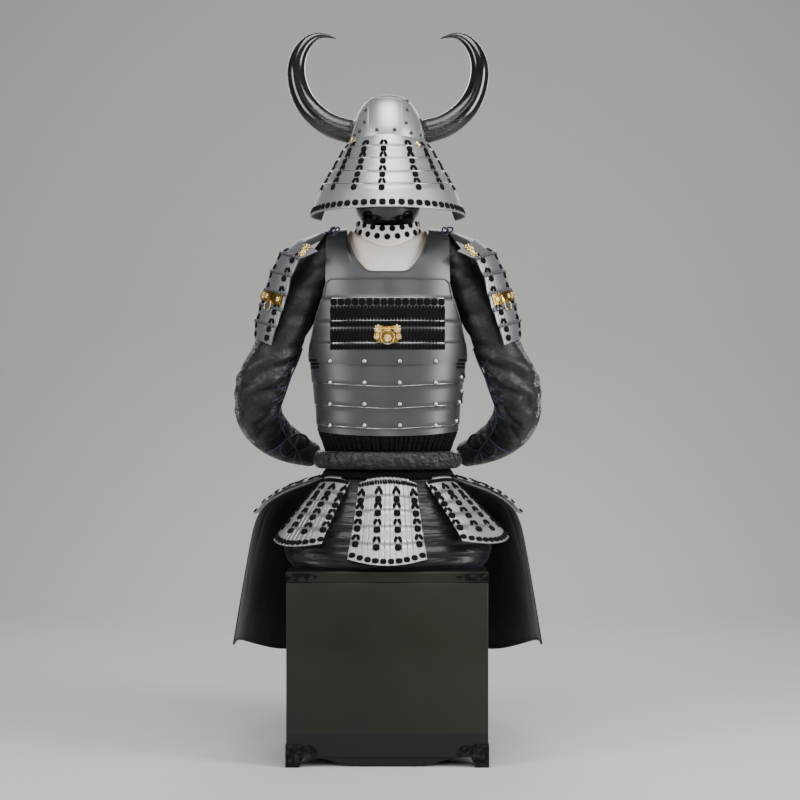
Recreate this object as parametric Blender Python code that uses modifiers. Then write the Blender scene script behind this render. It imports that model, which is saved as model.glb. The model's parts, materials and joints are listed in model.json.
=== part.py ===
"""A samurai armour set out on its chest, with its helmet on a turned head form.

Metres, +Z up. The back of the armour faces -Y, its front +Y, and its right side +X.
The origin is the middle of the chest's underside, on the floor.

Most pieces are lofts: rows of points run from the top edge down, and the points of a
row run counter-clockwise as seen from above. A turn of 0 degrees is the middle of the
back, 90 the +X side and 180 the middle of the front.
"""

import math
from collections import namedtuple

import bmesh
import bpy
from mathutils import Matrix, Vector

# Gaps and walls
GAP = 0.0003
STEEL = 0.0020
CLOTH = 0.0025
PADDED = 0.0030
LAME_STEP = 0.0025
SIDE_TURN = 89.97

# Chest
CHEST_WIDTH = 0.460
CHEST_DEPTH = 0.420
CHEST_FOOT = 0.024
LID_JOINT = 0.421
LID_TOP = 0.445
BEARER_FLAT = 0.065
BEARER_REACH = 0.170
IRON_WALL = 0.0015
IRON_ARM = 0.070

# Stand
POST_SIDE = 0.034
POST_TOP = 1.1847
BOARD_THICK = 0.020
BOARD_TOP = 1.2312
HEAD_BASE = 1.185

# Cuirass
TORSO_POWER = 2.4
GROOVE_DEPTH = 0.006
GROOVE_REACH = 0.050
GROOVE_FADE = 0.030
WAIST_RISE = 0.010
STRAP_INNER = 0.098
STRAP_OUTER = 0.146
STRAP_FALL = 0.006
STRAP_LAP = 0.012
NECKLINE = 1.1366
NECKLINE_FLAT = 0.035
PANEL_CORNER = 0.020
TUCK = -0.0036
LAID = -0.0025
STRAP_LINE = [(0.082, 1.187), (0.060, 1.217), (0.030, 1.2425), (0.0, 1.2495), (-0.030, 1.2445)]
COLLAR_DROP = 0.043

# Waist
ROLL_LEVEL = 0.6945
ROLL_TALL = 0.0230
ROLL_THICK = 0.0172
LACING_END = 0.652
TASSET_TOP = 0.6565
TASSET_LENGTH = 0.230
TASSET_ARCH = 0.012
TASSET_HEM_CURVE = 0.020
TASSET_BOW = 0.010
TASSET_LAMES = (0.0, 0.21, 0.37, 0.56, 0.76, 1.0)

# Helmet
BOWL_BASE = 1.450
BOWL_POWER = 2.0
GUARD_TURN = 118
HORN_STAND = 0.0008
BRIM_REACH = 0.035

# Shoulder guards
ARM_Y = -0.012
GUARD_RADIUS = 0.113
GUARD_HALF_ANGLE = 62
WING_STAND = 0.0012
GUARD_ANGLES = [GUARD_HALF_ANGLE * (j / 4 - 1) for j in range(9)]
BAND_PLACES = ((3.126, 0.0010), (3.786, -0.0008))
BAND_END = 58
RING_PLACE = 3.70
RING_ANGLE = -40

# Gold rings
RING_WIRE = 0.0013
STAPLE_RADIUS = 0.0036
STAPLE_WIRE = 0.0010
STAPLE_STAND = 0.0024
GUARD_RING = 0.0120
BACK_RING = 0.0160
BACK_RING_LEVEL = 0.9975
BACK_PLATE_THICK = 0.0022

Ring = namedtuple("Ring", "z half_width back front")
Finish = namedtuple("Finish", "colour roughness metallic")

FINISHES = {
    "steel": Finish((0.30, 0.31, 0.31), 0.42, 0.85),
    "dark_steel": Finish((0.10, 0.10, 0.11), 0.40, 0.80),
    "iron": Finish((0.05, 0.05, 0.05), 0.50, 0.80),
    "gold": Finish((0.83, 0.62, 0.26), 0.30, 1.00),
    "horn": Finish((0.012, 0.012, 0.014), 0.18, 0.00),
    "head": Finish((0.01, 0.01, 0.01), 0.15, 0.00),
    "wood": Finish((0.18, 0.11, 0.06), 0.60, 0.00),
    "lacquer": Finish((0.022, 0.024, 0.014), 0.45, 0.00),
    "leather": Finish((0.80, 0.70, 0.62), 0.70, 0.00),
    "lacing": Finish((0.015, 0.015, 0.017), 0.80, 0.00),
    "brocade": Finish((0.030, 0.030, 0.032), 0.60, 0.00),
    "satin": Finish((0.016, 0.018, 0.022), 0.45, 0.00),
    "thigh_cloth": Finish((0.018, 0.019, 0.026), 0.75, 0.00),
}

# The outermost line of the cuirass
TORSO = [
    Ring(1.235, 0.180, 0.060, 0.035),
    Ring(1.200, 0.186, 0.095, 0.075),
    Ring(1.160, 0.190, 0.117, 0.105),
    Ring(1.117, 0.193, 0.128, 0.122),
    Ring(1.066, 0.193, 0.134, 0.134),
    Ring(1.029, 0.192, 0.136, 0.140),
    Ring(0.975, 0.191, 0.136, 0.145),
    Ring(0.917, 0.190, 0.134, 0.146),
    Ring(0.859, 0.181, 0.130, 0.143),
    Ring(0.806, 0.175, 0.126, 0.138),
    Ring(0.750, 0.170, 0.122, 0.133),
    Ring(0.700, 0.168, 0.118, 0.128),
]

# How much of the half width a plate keeps beside the armhole
Armhole = namedtuple("Armhole", "z share")
ARMHOLE = [
    Armhole(1.160, 0.765),
    Armhole(1.121, 0.765),
    Armhole(1.083, 0.790),
    Armhole(1.040, 0.875),
    Armhole(0.987, 0.945),
    Armhole(0.951, 0.985),
    Armhole(0.925, 1.000),
]

# Levels of a cuirass piece: height, distance out of the outermost line, rise at the sides
Level = namedtuple("Level", "z out rise")
BACK_PANEL = [
    Level(1.1210, 0.0000, 0.000),
    Level(1.0745, -0.0012, 0.000),
    Level(1.0735, 0.0012, 0.000),
    Level(1.0215, -0.0012, 0.000),
    Level(1.0205, 0.0012, 0.000),
    Level(0.9695, -0.0012, 0.003),
    Level(0.9685, 0.0012, 0.003),
    Level(0.9440, 0.0007, 0.006),
    Level(0.9300, 0.0003, 0.008),
    Level(0.9170, 0.0000, WAIST_RISE),
]
FRONT_PANEL = [
    Level(1.0950, 0.0000, 0.000),
    Level(1.0505, -0.0012, 0.000),
    Level(1.0495, 0.0012, 0.000),
    Level(1.0055, -0.0012, 0.000),
    Level(1.0045, 0.0012, 0.000),
    Level(0.9605, -0.0012, 0.003),
    Level(0.9595, 0.0012, 0.003),
    Level(0.9440, 0.0007, 0.006),
    Level(0.9300, 0.0003, 0.008),
    Level(0.9170, 0.0000, WAIST_RISE),
]
WAIST_PLATES = [
    Level(0.9215, -0.0030, WAIST_RISE),
    Level(0.9130, -0.0026, WAIST_RISE),
    Level(0.8685, 0.0002, WAIST_RISE),
    Level(0.8675, -0.0018, WAIST_RISE),
    Level(0.8175, 0.0002, WAIST_RISE),
    Level(0.8165, -0.0018, WAIST_RISE),
    Level(0.7695, 0.0002, WAIST_RISE),
    Level(0.7685, -0.0018, WAIST_RISE),
    Level(0.7520, -0.0010, WAIST_RISE),
]
# Columns of a cuirass half, as shares of the turn to its edge, close together at the spine
PLATE_COLUMNS = (0.0, 0.08, 0.18, 0.30, 0.43, 0.56, 0.69, 0.80, 0.88, 0.945, 1.0)

# The top of the waist, where strands of lace hang from the cuirass through the roll
LACING = [
    Ring(0.7514, 0.1665, 0.1185, 0.1290),
    Ring(0.7340, 0.1590, 0.1120, 0.1230),
    Ring(0.7160, 0.1470, 0.1010, 0.1110),
    Ring(0.6720, 0.1470, 0.1010, 0.1110),
    Ring(0.6640, 0.1572, 0.1092, 0.1192),
    Ring(LACING_END, 0.1572, 0.1092, 0.1192),
]
WAIST_RING = Ring(TASSET_TOP, 0.1572, 0.1092, 0.1192)

# Tassets: place along the waist ring, heading, flare at the top and at the hem, widths
Tasset = namedtuple("Tasset", "name arc heading flare_top flare_hem top_half hem_half")
TASSETS = [
    Tasset("tasset_back", 0.000, 0, 32, 32, 0.066, 0.090),
    Tasset("tasset_back_left", -0.136, -34, 50, 46, 0.050, 0.078),
    Tasset("tasset_back_right", 0.136, 42, 52, 48, 0.050, 0.078),
    Tasset("tasset_side_left", -0.254, -131, 77, 38, 0.050, 0.072),
    Tasset("tasset_side_right", 0.254, 131, 77, 38, 0.050, 0.072),
    Tasset("tasset_front_left", -0.368, -164, 77, 36, 0.050, 0.066),
    Tasset("tasset_front_right", 0.368, 164, 77, 36, 0.050, 0.066),
]

# Seat cloth: folds stand proud where a row is larger than its neighbours
SEAT_POWER = 3.2
SEAT = [
    Ring(0.6490, 0.148, 0.100, 0.108),
    Ring(0.6300, 0.158, 0.108, 0.120),
    Ring(0.6050, 0.190, 0.124, 0.148),
    Ring(0.5850, 0.208, 0.134, 0.166),
    Ring(0.5620, 0.224, 0.150, 0.184),
    Ring(0.5480, 0.236, 0.160, 0.194),
    Ring(0.5340, 0.234, 0.164, 0.196),
    Ring(0.5160, 0.246, 0.177, 0.206),
    Ring(0.5010, 0.245, 0.180, 0.207),
    Ring(0.4850, 0.251, 0.191, 0.212),
    Ring(0.4700, 0.244, 0.190, 0.208),
    Ring(0.4600, 0.243, 0.194, 0.208),
    Ring(LID_TOP + GAP, 0.228, 0.188, 0.200),
]

# Thigh guards: outermost line, and the hem's extra drop towards the front
THIGH_POWER = 3.0
THIGH_TURNS = (80, 178.4)
THIGH_HEM_DROP = 0.062
THIGH = [
    Ring(0.6505, 0.1560, 0.110, 0.1180),
    Ring(0.6370, 0.1900, 0.140, 0.1550),
    Ring(0.6210, 0.2420, 0.180, 0.2100),
    Ring(0.5940, 0.2900, 0.220, 0.2520),
    Ring(0.5600, 0.3150, 0.240, 0.2760),
    Ring(0.4970, 0.3280, 0.250, 0.2860),
    Ring(0.3870, 0.3470, 0.270, 0.2940),
    Ring(0.2640, 0.3670, 0.290, 0.3020),
]

# Helmet bowl, crown to base
BOWL_DEPTH = 1.18
Bowl = namedtuple("Bowl", "z half_width")
BOWL = [
    Bowl(1.5645, 0.022),
    Bowl(1.5600, 0.040),
    Bowl(1.5480, 0.0575),
    Bowl(1.5230, 0.0734),
    Bowl(1.4970, 0.0830),
    Bowl(1.4750, 0.0905),
    Bowl(BOWL_BASE, 0.0940),
]
BOWL_TOP = 1.5662

# Neck guard: smooth line of its five lames
NECK = [
    Ring(1.4560, 0.0962, 0.1132, 0.095),
    Ring(1.4280, 0.1090, 0.1300, 0.106),
    Ring(1.4000, 0.1210, 0.1440, 0.118),
    Ring(1.3760, 0.1320, 0.1560, 0.128),
    Ring(1.3520, 0.1450, 0.1700, 0.141),
    Ring(1.3280, 0.1600, 0.1860, 0.156),
    Ring(1.3090, 0.1750, 0.1970, 0.170),
    Ring(1.2770, 0.1870, 0.2060, 0.180),
]
Lame = namedtuple("Lame", "top hem top_rise hem_rise")
NECK_LAMES = [
    Lame(1.456, 1.428, -0.010, 0.004),
    Lame(1.428, 1.397, 0.004, 0.012),
    Lame(1.397, 1.363, 0.012, 0.018),
    Lame(1.363, 1.331, 0.018, 0.018),
    Lame(1.331, 1.277, 0.018, -0.002),
]

Horn = namedtuple("Horn", "x z radius")
HORN = [
    Horn(0.091, 1.4795, 0.0290),
    Horn(0.134, 1.4910, 0.0295),
    Horn(0.170, 1.5150, 0.0290),
    Horn(0.203, 1.5520, 0.0270),
    Horn(0.2195, 1.5980, 0.0245),
    Horn(0.2235, 1.6410, 0.0225),
    Horn(0.2120, 1.6800, 0.0190),
    Horn(0.1880, 1.7100, 0.0135),
    Horn(0.1580, 1.7210, 0.0070),
    Horn(0.1270, 1.7110, 0.0013),
]
HORN_FORWARD = 0.035

Sleeve = namedtuple("Sleeve", "x y z across deep")
SLEEVE = [
    Sleeve(0.1240, -0.010, 1.2276, 0.024, 0.024),
    Sleeve(0.1520, -0.019, 1.1640, 0.042, 0.050),
    Sleeve(0.1870, -0.022, 1.1040, 0.052, 0.060),
    Sleeve(0.2240, -0.028, 1.0420, 0.053, 0.064),
    Sleeve(0.2490, -0.028, 0.9800, 0.048, 0.061),
    Sleeve(0.2900, -0.026, 0.9000, 0.066, 0.070),
    Sleeve(0.3110, -0.012, 0.8520, 0.061, 0.066),
    Sleeve(0.3140, 0.012, 0.8060, 0.060, 0.062),
    Sleeve(0.2980, 0.050, 0.7680, 0.057, 0.056),
    Sleeve(0.2700, 0.092, 0.7400, 0.051, 0.048),
    Sleeve(0.2400, 0.130, 0.7200, 0.043, 0.040),
    Sleeve(0.2120, 0.162, 0.7070, 0.036, 0.034),
    Sleeve(0.1940, 0.184, 0.7000, 0.033, 0.032),
]
SLEEVE_SIDES = 14

# Shoulder guard: its outermost line, and its rear and front edges
GuardRow = namedtuple("GuardRow", "x z edge_x edge_z")
GUARD = [
    GuardRow(0.2130, 1.220, 0.1630, 1.184),
    GuardRow(0.2575, 1.189, 0.2030, 1.168),
    GuardRow(0.2800, 1.146, 0.2245, 1.127),
    GuardRow(0.2945, 1.102, 0.2345, 1.082),
    GuardRow(0.3060, 1.067, 0.2455, 1.046),
    GuardRow(0.3170, 1.028, 0.2595, 1.008),
    GuardRow(0.3200, 0.983, 0.2725, 0.964),
]

# Head form, crown to base
Turned = namedtuple("Turned", "radius z")
HEAD = [
    Turned(0.0000, 1.5634),
    Turned(0.0250, 1.5585),
    Turned(0.0450, 1.5400),
    Turned(0.0640, 1.5050),
    Turned(0.0760, 1.4550),
    Turned(0.0830, 1.3900),
    Turned(0.0840, 1.3200),
    Turned(0.0780, 1.2800),
    Turned(0.0600, 1.2620),
    Turned(0.0520, 1.2400),
    Turned(0.0500, HEAD_BASE),
    Turned(0.0000, HEAD_BASE),
]

ARMOUR = "samurai_armour"
CUTTERS = "cutters"


def clear_scene():
    """Start from an empty scene with one collection for the armour and one for cutters."""
    for thing in list(bpy.data.objects):
        bpy.data.objects.remove(thing, do_unlink=True)
    for name in (ARMOUR, CUTTERS):
        collection = bpy.data.collections.new(name)
        bpy.context.scene.collection.children.link(collection)


def along(table, field, z):
    """Smooth value of one column of a table that runs down in z."""
    if z >= table[0].z:
        return getattr(table[0], field)
    if z <= table[-1].z:
        return getattr(table[-1], field)
    low = next(i for i in range(1, len(table)) if table[i].z <= z)
    rows = [table[max(low - 2, 0)], table[low - 1], table[low], table[min(low + 1, len(table) - 1)]]
    heights = [row.z for row in rows]
    values = [getattr(row, field) for row in rows]
    span = heights[2] - heights[1]
    share = (z - heights[1]) / span
    start = slope(heights, values, 0, 2) * span
    end = slope(heights, values, 1, 3) * span
    return (
        values[1] * (2 * share**3 - 3 * share**2 + 1)
        + start * (share**3 - 2 * share**2 + share)
        + values[2] * (3 * share**2 - 2 * share**3)
        + end * (share**3 - share**2)
    )


def slope(heights, values, first, last):
    """Slope between two rows, or 0 where they are the same row."""
    run = heights[last] - heights[first]
    return (values[last] - values[first]) / run if run else 0.0


def oval_point(turn, half_width, back, front, power):
    """Point of a horizontal oval that is squarer the higher its power."""
    sine, cosine = math.sin(math.radians(turn)), math.cos(math.radians(turn))
    depth = back if cosine > 0 else front
    x = half_width * math.copysign(abs(sine) ** (2 / power), sine)
    y = -depth * math.copysign(abs(cosine) ** (2 / power), cosine)
    return x, y


def ring_point(table, power, turn, z, out=0.0, lift=0.0):
    """Point at a turn on a table's oval at height z, moved out, and lifted by lift."""
    sizes = [along(table, field, z) + out for field in ("half_width", "back", "front")]
    x, y = oval_point(turn, *sizes, power)
    return Vector((x, y, z + lift))


def mirrored(rows):
    """The same rows on the -X side, with the order of points kept counter-clockwise."""
    return [[Vector((-p.x, p.y, p.z)) for p in reversed(row)] for row in rows]


def add_object(name, mesh, finish):
    """Put a mesh in the armour's collection with a material of its own."""
    thing = bpy.data.objects.new(name, mesh)
    bpy.data.collections[ARMOUR].objects.link(thing)
    material = bpy.data.materials.new(name + "_" + finish)
    material.use_nodes = True
    shader = material.node_tree.nodes["Principled BSDF"]
    look = FINISHES[finish]
    shader.inputs["Base Color"].default_value = (*look.colour, 1.0)
    shader.inputs["Roughness"].default_value = look.roughness
    shader.inputs["Metallic"].default_value = look.metallic
    mesh.materials.clear()
    mesh.materials.append(material)
    return thing


def loft(rows, wraps=False, crown=None, close_ends=False):
    """Mesh through rows of points, with an optional crown point above the first row."""
    shape = bmesh.new()
    rings = [[shape.verts.new(point) for point in row] for row in rows]
    count = len(rings[0])
    for upper, lower in zip(rings, rings[1:]):
        for j in range(count if wraps else count - 1):
            k = (j + 1) % count
            shape.faces.new((upper[j], lower[j], lower[k], upper[k]))
    if crown is not None:
        peak = shape.verts.new(crown)
        for j in range(count):
            shape.faces.new((peak, rings[0][j], rings[0][(j + 1) % count]))
    if close_ends:
        shape.faces.new(list(reversed(rings[-1])))
        if crown is None:
            shape.faces.new(rings[0])
    return shape


def finish_mesh(shape, name, smooth_angle=35):
    """Turn a bmesh into a mesh, smooth but for its sharp edges."""
    mesh = bpy.data.meshes.new(name)
    shape.to_mesh(mesh)
    shape.free()
    mesh.shade_smooth()
    mesh.set_sharp_from_angle(angle=math.radians(smooth_angle))
    return mesh


def sheet(name, rows, wall, finish, wraps=False, crown=None):
    """A wall whose outer face is the loft through the rows, grown inwards."""
    thing = add_object(name, finish_mesh(loft(rows, wraps, crown), name), finish)
    solid = thing.modifiers.new("wall", "SOLIDIFY")
    solid.thickness = wall
    solid.offset = -1
    return thing


def block(name, low, high, finish, bevel=0.002):
    """A box between two corners with softened edges."""
    shape = bmesh.new()
    bmesh.ops.create_cube(shape, size=1)
    low, high = Vector(low), Vector(high)
    bmesh.ops.scale(shape, vec=high - low, verts=shape.verts)
    bmesh.ops.translate(shape, vec=(high + low) / 2, verts=shape.verts)
    thing = add_object(name, finish_mesh(shape, name), finish)
    if bevel:
        edge = thing.modifiers.new("edges", "BEVEL")
        edge.width = bevel
        edge.segments = 2
    return thing


def turned(name, profile, finish, steps):
    """A solid turned about Z from a profile that runs down its outer side."""
    shape = bmesh.new()
    points = [shape.verts.new((p.radius, 0, p.z)) for p in profile]
    for first, second in zip(points, points[1:]):
        shape.edges.new((first, second))
    thing = add_object(name, finish_mesh(shape, name), finish)
    lathe = thing.modifiers.new("turning", "SCREW")
    lathe.steps = steps
    lathe.render_steps = steps
    lathe.use_merge_vertices = True
    lathe.merge_threshold = 0.0001
    return thing


def outline_plate(name, outline, thickness, finish):
    """A flat plate cut to an XZ outline, thick in Y, with its back face at y = 0."""
    shape = bmesh.new()
    face = shape.faces.new([shape.verts.new((x, 0, z)) for x, z in outline])
    face.normal_update()
    if face.normal.y < 0:
        face.normal_flip()
    grown = bmesh.ops.extrude_face_region(shape, geom=[face])
    moved = [v for v in grown["geom"] if isinstance(v, bmesh.types.BMVert)]
    bmesh.ops.translate(shape, vec=(0, -thickness, 0), verts=moved)
    bmesh.ops.recalc_face_normals(shape, faces=shape.faces)
    return add_object(name, finish_mesh(shape, name), finish)


def tube_rows(path, sides, folds=0.0):
    """Rows round a path of rows with x, y, z, across and deep, square to its direction."""
    centres = [Vector((p.x, p.y, p.z)) for p in path]
    rows = []
    for i, p in enumerate(path):
        ahead = centres[min(i + 1, len(path) - 1)] - centres[max(i - 1, 0)]
        along_path = ahead.normalized()
        rear = Vector((0, -1, 0))
        rear = (rear - along_path * rear.dot(along_path)).normalized()
        outer = rear.cross(along_path)
        row = []
        for j in range(sides):
            angle = 2 * math.pi * j / sides
            fold = 1 + folds * math.sin(2 * angle + 1.7 * i)
            offset = rear * (p.deep * math.cos(angle)) + outer * (p.across * math.sin(angle))
            row.append(centres[i] + offset * fold)
        rows.append(row)
    return rows


def chest():
    """The lacquered box that the armour is stored in and sits on, with its irons."""
    half_width, half_depth = CHEST_WIDTH / 2, CHEST_DEPTH / 2
    low, high = (-half_width, -half_depth), (half_width, half_depth)
    block("chest_body", (*low, CHEST_FOOT), (*high, LID_JOINT), "lacquer")
    block("chest_lid", (*low, LID_JOINT + GAP), (*high, LID_TOP), "lacquer")
    rise = [(s / 5, 3 * (s / 5) ** 2 - 2 * (s / 5) ** 3) for s in range(6)]
    tall = CHEST_FOOT - GAP - 0.003
    right = [(BEARER_FLAT + (BEARER_REACH - BEARER_FLAT) * s, tall * r) for s, r in rise]
    outline = right + [(BEARER_REACH, CHEST_FOOT - GAP), (-BEARER_REACH, CHEST_FOOT - GAP)]
    outline += [(-x, z) for x, z in reversed(right)]
    bearer = outline_plate("base_bearer", outline, CHEST_DEPTH - 0.02, "lacquer")
    bearer.location.y = half_depth - 0.01
    for side, x in (("left", -1), ("right", 1)):
        for end, y in (("back", -1), ("front", 1)):
            foot_iron(f"iron_{end}_{side}", x, y)
            lid_iron(f"lid_iron_{end}_{side}", x, y)


def iron_rows(x_side, y_side, tops, hems):
    """Two rows round one corner of the chest, with their heights by distance from it."""
    stand = IRON_WALL + GAP
    half_width, half_depth = CHEST_WIDTH / 2, CHEST_DEPTH / 2
    distances = [-d for d in reversed(list(tops)) if d] + list(tops)
    rows = []
    for heights in (tops, hems):
        row = []
        for d in distances:
            x = half_width + (stand if d >= 0 else d)
            y = -half_depth - (stand if d <= 0 else -d)
            row.append(Vector((x, y, heights[abs(d)])))
        rows.append(row)
    for flip, axis in ((x_side < 0, 0), (y_side > 0, 1)):
        if flip:
            for row in rows:
                row.reverse()
                for point in row:
                    point[axis] = -point[axis]
    return rows


def foot_iron(name, x_side, y_side):
    """A cloud-edged iron round a lower corner, whose middle goes down to the floor."""
    edge = {0.0: 0.052, 0.030: 0.052, 0.040: 0.046, 0.052: 0.050, 0.064: 0.044, IRON_ARM: 0.034}
    hems = {d: 0.0 if d <= 0.030 else 0.0245 for d in edge}
    sheet(name, iron_rows(x_side, y_side, edge, hems), IRON_WALL, "iron")


def lid_iron(name, x_side, y_side):
    """A low iron round a corner of the lid."""
    edge = {0.0: 0.4430, 0.030: 0.4430, 0.052: 0.4405, IRON_ARM: 0.4360}
    hems = {0.0: 0.4235, 0.030: 0.4235, 0.052: 0.4255, IRON_ARM: 0.4300}
    sheet(name, iron_rows(x_side, y_side, edge, hems), IRON_WALL, "iron")


def stand():
    """Base plate, post, shoulder board and the turned head form."""
    half = POST_SIDE / 2
    plate_top = LID_TOP + 0.015
    block("stand_base", (-0.08, -0.08, LID_TOP + GAP), (0.08, 0.08, plate_top), "wood")
    block("stand_post", (-half, -half, plate_top + GAP), (half, half, POST_TOP), "wood")
    top = [(0.112, BOARD_TOP), (0.096, BOARD_TOP), (0.084, 1.195), (0.070, 1.183)]
    under = [(-0.112, 1.205), (-0.060, 1.150), (0.060, 1.150), (0.112, 1.205)]
    outline = top + [(-x, z) for x, z in reversed(top)] + under
    board = outline_plate("stand_shoulder_board", outline, BOARD_THICK, "wood")
    board.location.y = half + GAP + BOARD_THICK
    turned("head_form", HEAD, "head", 20)


def armhole_turn(z):
    """Turn of a plate's edge beside the armhole at height z."""
    share = along(ARMHOLE, "share", z)
    return min(SIDE_TURN, math.degrees(math.asin(share ** (TORSO_POWER / 2))))


def groove(x, z):
    """How far the back is drawn in beside the spine."""
    top_fade = min(1.0, max(0.0, (BACK_PANEL[0].z - z) / GROOVE_FADE))
    fade = min(top_fade, max(0.0, (z - WAIST_PLATES[-1].z) / GROOVE_FADE))
    return GROOVE_DEPTH * fade * max(0.0, 1 - abs(x) / GROOVE_REACH) ** 1.5


def plate_rows(levels, middle):
    """Rows of a cuirass half round its middle turn, 0 for the back and 180 for the front."""
    shares = [-s for s in reversed(PLATE_COLUMNS) if s] + list(PLATE_COLUMNS)
    rows = []
    for i, level in enumerate(levels):
        row = []
        for share in shares:
            bend = min(1.0, max(0.0, (abs(share) - 0.82) / 0.18)) if i == 0 and level.rise == 0 else 0.0
            corner = PANEL_CORNER * (1 - math.sqrt(1 - bend**2))
            z = level.z - corner
            turn = middle + share * armhole_turn(z)
            lift = level.rise * math.sin(math.radians(turn)) ** 2
            point = ring_point(TORSO, TORSO_POWER, turn, z, level.out, lift)
            if middle == 0:
                point.y += groove(point.x, z)
            row.append(point)
        rows.append(row)
    return rows


def skin_y(x, z, out, side):
    """Y of the cuirass's line at x and z, on the back (side -1) or the front (side 1)."""
    width = along(TORSO, "half_width", z) + out
    depth = along(TORSO, "back" if side < 0 else "front", z) + out
    return side * depth * (1 - (abs(x) / width) ** TORSO_POWER) ** (1 / TORSO_POWER)


def back_top(x):
    """Upper edge of the back's top plate, a wide neckline between two shoulders."""
    x = abs(x)
    if x <= NECKLINE_FLAT:
        return NECKLINE
    if x <= STRAP_INNER:
        return NECKLINE + 0.0984 * ((x - NECKLINE_FLAT) / (STRAP_INNER - NECKLINE_FLAT)) ** 2.4
    return 1.235 - 0.006 * (x - STRAP_INNER) / (STRAP_OUTER - STRAP_INNER)


def front_top(x):
    """Upper edge of the breast's top plate."""
    return 1.138 + 0.012 * min(1.0, abs(x) / STRAP_INNER) ** 2


def top_plate(name, edge, seam, hem, side):
    """A top plate whose hem is tucked behind the panel below it."""
    half = [0.0, 0.026, 0.042, 0.056, 0.070, 0.085, STRAP_INNER, 0.122, STRAP_OUTER]
    columns = [-x for x in reversed(half) if x] + half
    if side > 0:
        columns.reverse()
    rows = []
    for share, level, out in (
        (1.0, seam + 0.003, LAID),
        (0.66, seam + 0.003, LAID),
        (0.33, seam + 0.003, LAID),
        (0.0, seam + 0.003, LAID),
        (0.0, seam - 0.003, TUCK),
        (0.0, hem, TUCK),
    ):
        row = []
        for x in columns:
            z = level + share * (edge(x) - level)
            drawn_in = groove(x, z) if side < 0 else 0.0
            row.append(Vector((x, skin_y(x, z, out, side) + drawn_in, z)))
        rows.append(row)
    sheet(name, rows, STEEL, "dark_steel")


def strap_rows():
    """Rows of the +X shoulder strap, from its front end over to its back end."""
    columns = [STRAP_INNER, (STRAP_INNER + STRAP_OUTER) / 2, STRAP_OUTER]
    over = LAID + STEEL + 4 * GAP
    rows = []
    for lap in (-STRAP_LAP, 0.002):
        rows.append([Vector((x, skin_y(x, front_top(x) + lap, over, 1), front_top(x) + lap)) for x in columns])
    front = rows[-1]
    for y, z in STRAP_LINE:
        row = []
        for x, end in zip(columns, front):
            fall = STRAP_FALL * (x - STRAP_INNER) / (STRAP_OUTER - STRAP_INNER)
            row.append(Vector((x, y * (end.y / 0.095 if y > 0 else 1), z - fall)))
        rows.append(row)
    for lap in (0.002, -STRAP_LAP):
        rows.append([Vector((x, skin_y(x, back_top(x) + lap, over, -1), back_top(x) + lap)) for x in columns])
    return rows


def strap_height(y):
    """Height of the strap's outer edge at a place over the shoulder."""
    line = sorted(STRAP_LINE)
    for (y_low, z_low), (y_high, z_high) in zip(line, line[1:]):
        if y <= y_high:
            share = (y - y_low) / (y_high - y_low)
            return z_low + share * (z_high - z_low) - STRAP_FALL
    return line[-1][1] - STRAP_FALL


def cuirass():
    """Panels, waist plates, top plates and shoulder straps of steel."""
    for name, levels, middle in (
        ("back_panel", BACK_PANEL, 0),
        ("front_panel", FRONT_PANEL, 180),
        ("back_waist_plates", WAIST_PLATES, 0),
        ("front_waist_plates", WAIST_PLATES, 180),
    ):
        sheet(name, plate_rows(levels, middle), STEEL, "dark_steel")
    top_plate("back_top_plate", back_top, BACK_PANEL[0].z, 1.098, -1)
    top_plate("front_top_plate", front_top, FRONT_PANEL[0].z, 1.072, 1)
    sheet("shoulder_strap_right", strap_rows(), STEEL, "dark_steel")
    sheet("shoulder_strap_left", mirrored(strap_rows()), STEEL, "dark_steel")


def collar():
    """The padded yoke that shows in the neckline, and the collar that stands on it."""
    rows = []
    for share in (0.0, 0.5, 1.0):
        row = []
        for step in range(15):
            turn = -84 + 12 * step
            sine, cosine = math.sin(math.radians(turn)), math.cos(math.radians(turn))
            inner = Vector((0.080 * sine, -0.075 * cosine, 1.196 + COLLAR_DROP * sine**2))
            x = 0.100 * math.copysign(abs(sine) ** 0.9, sine)
            z = 1.125 + 0.100 * abs(sine) ** 2.4
            y = skin_y(x, z, -0.0053, -1) * cosine**0.35
            outer = Vector((x, y, z))
            bulge = Vector((0, 0, 0.010 * 4 * share * (1 - share)))
            row.append(inner.lerp(outer, share) + bulge)
        rows.append(row)
    sheet("collar_yoke", rows, PADDED, "leather")
    rows = []
    for base, rise, radius in ((1.247, 0.012, 0.0745), (1.2215, 0.028, 0.0770), (1.1966, 0.044, 0.0795)):
        row = []
        for step in range(21):
            turn = -125 + 12.5 * step
            sine, cosine = math.sin(math.radians(turn)), math.cos(math.radians(turn))
            row.append(Vector((radius * sine, -0.94 * radius * cosine, base + rise * sine**2)))
        rows.append(row)
    sheet("standing_collar", rows, PADDED, "leather")


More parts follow.
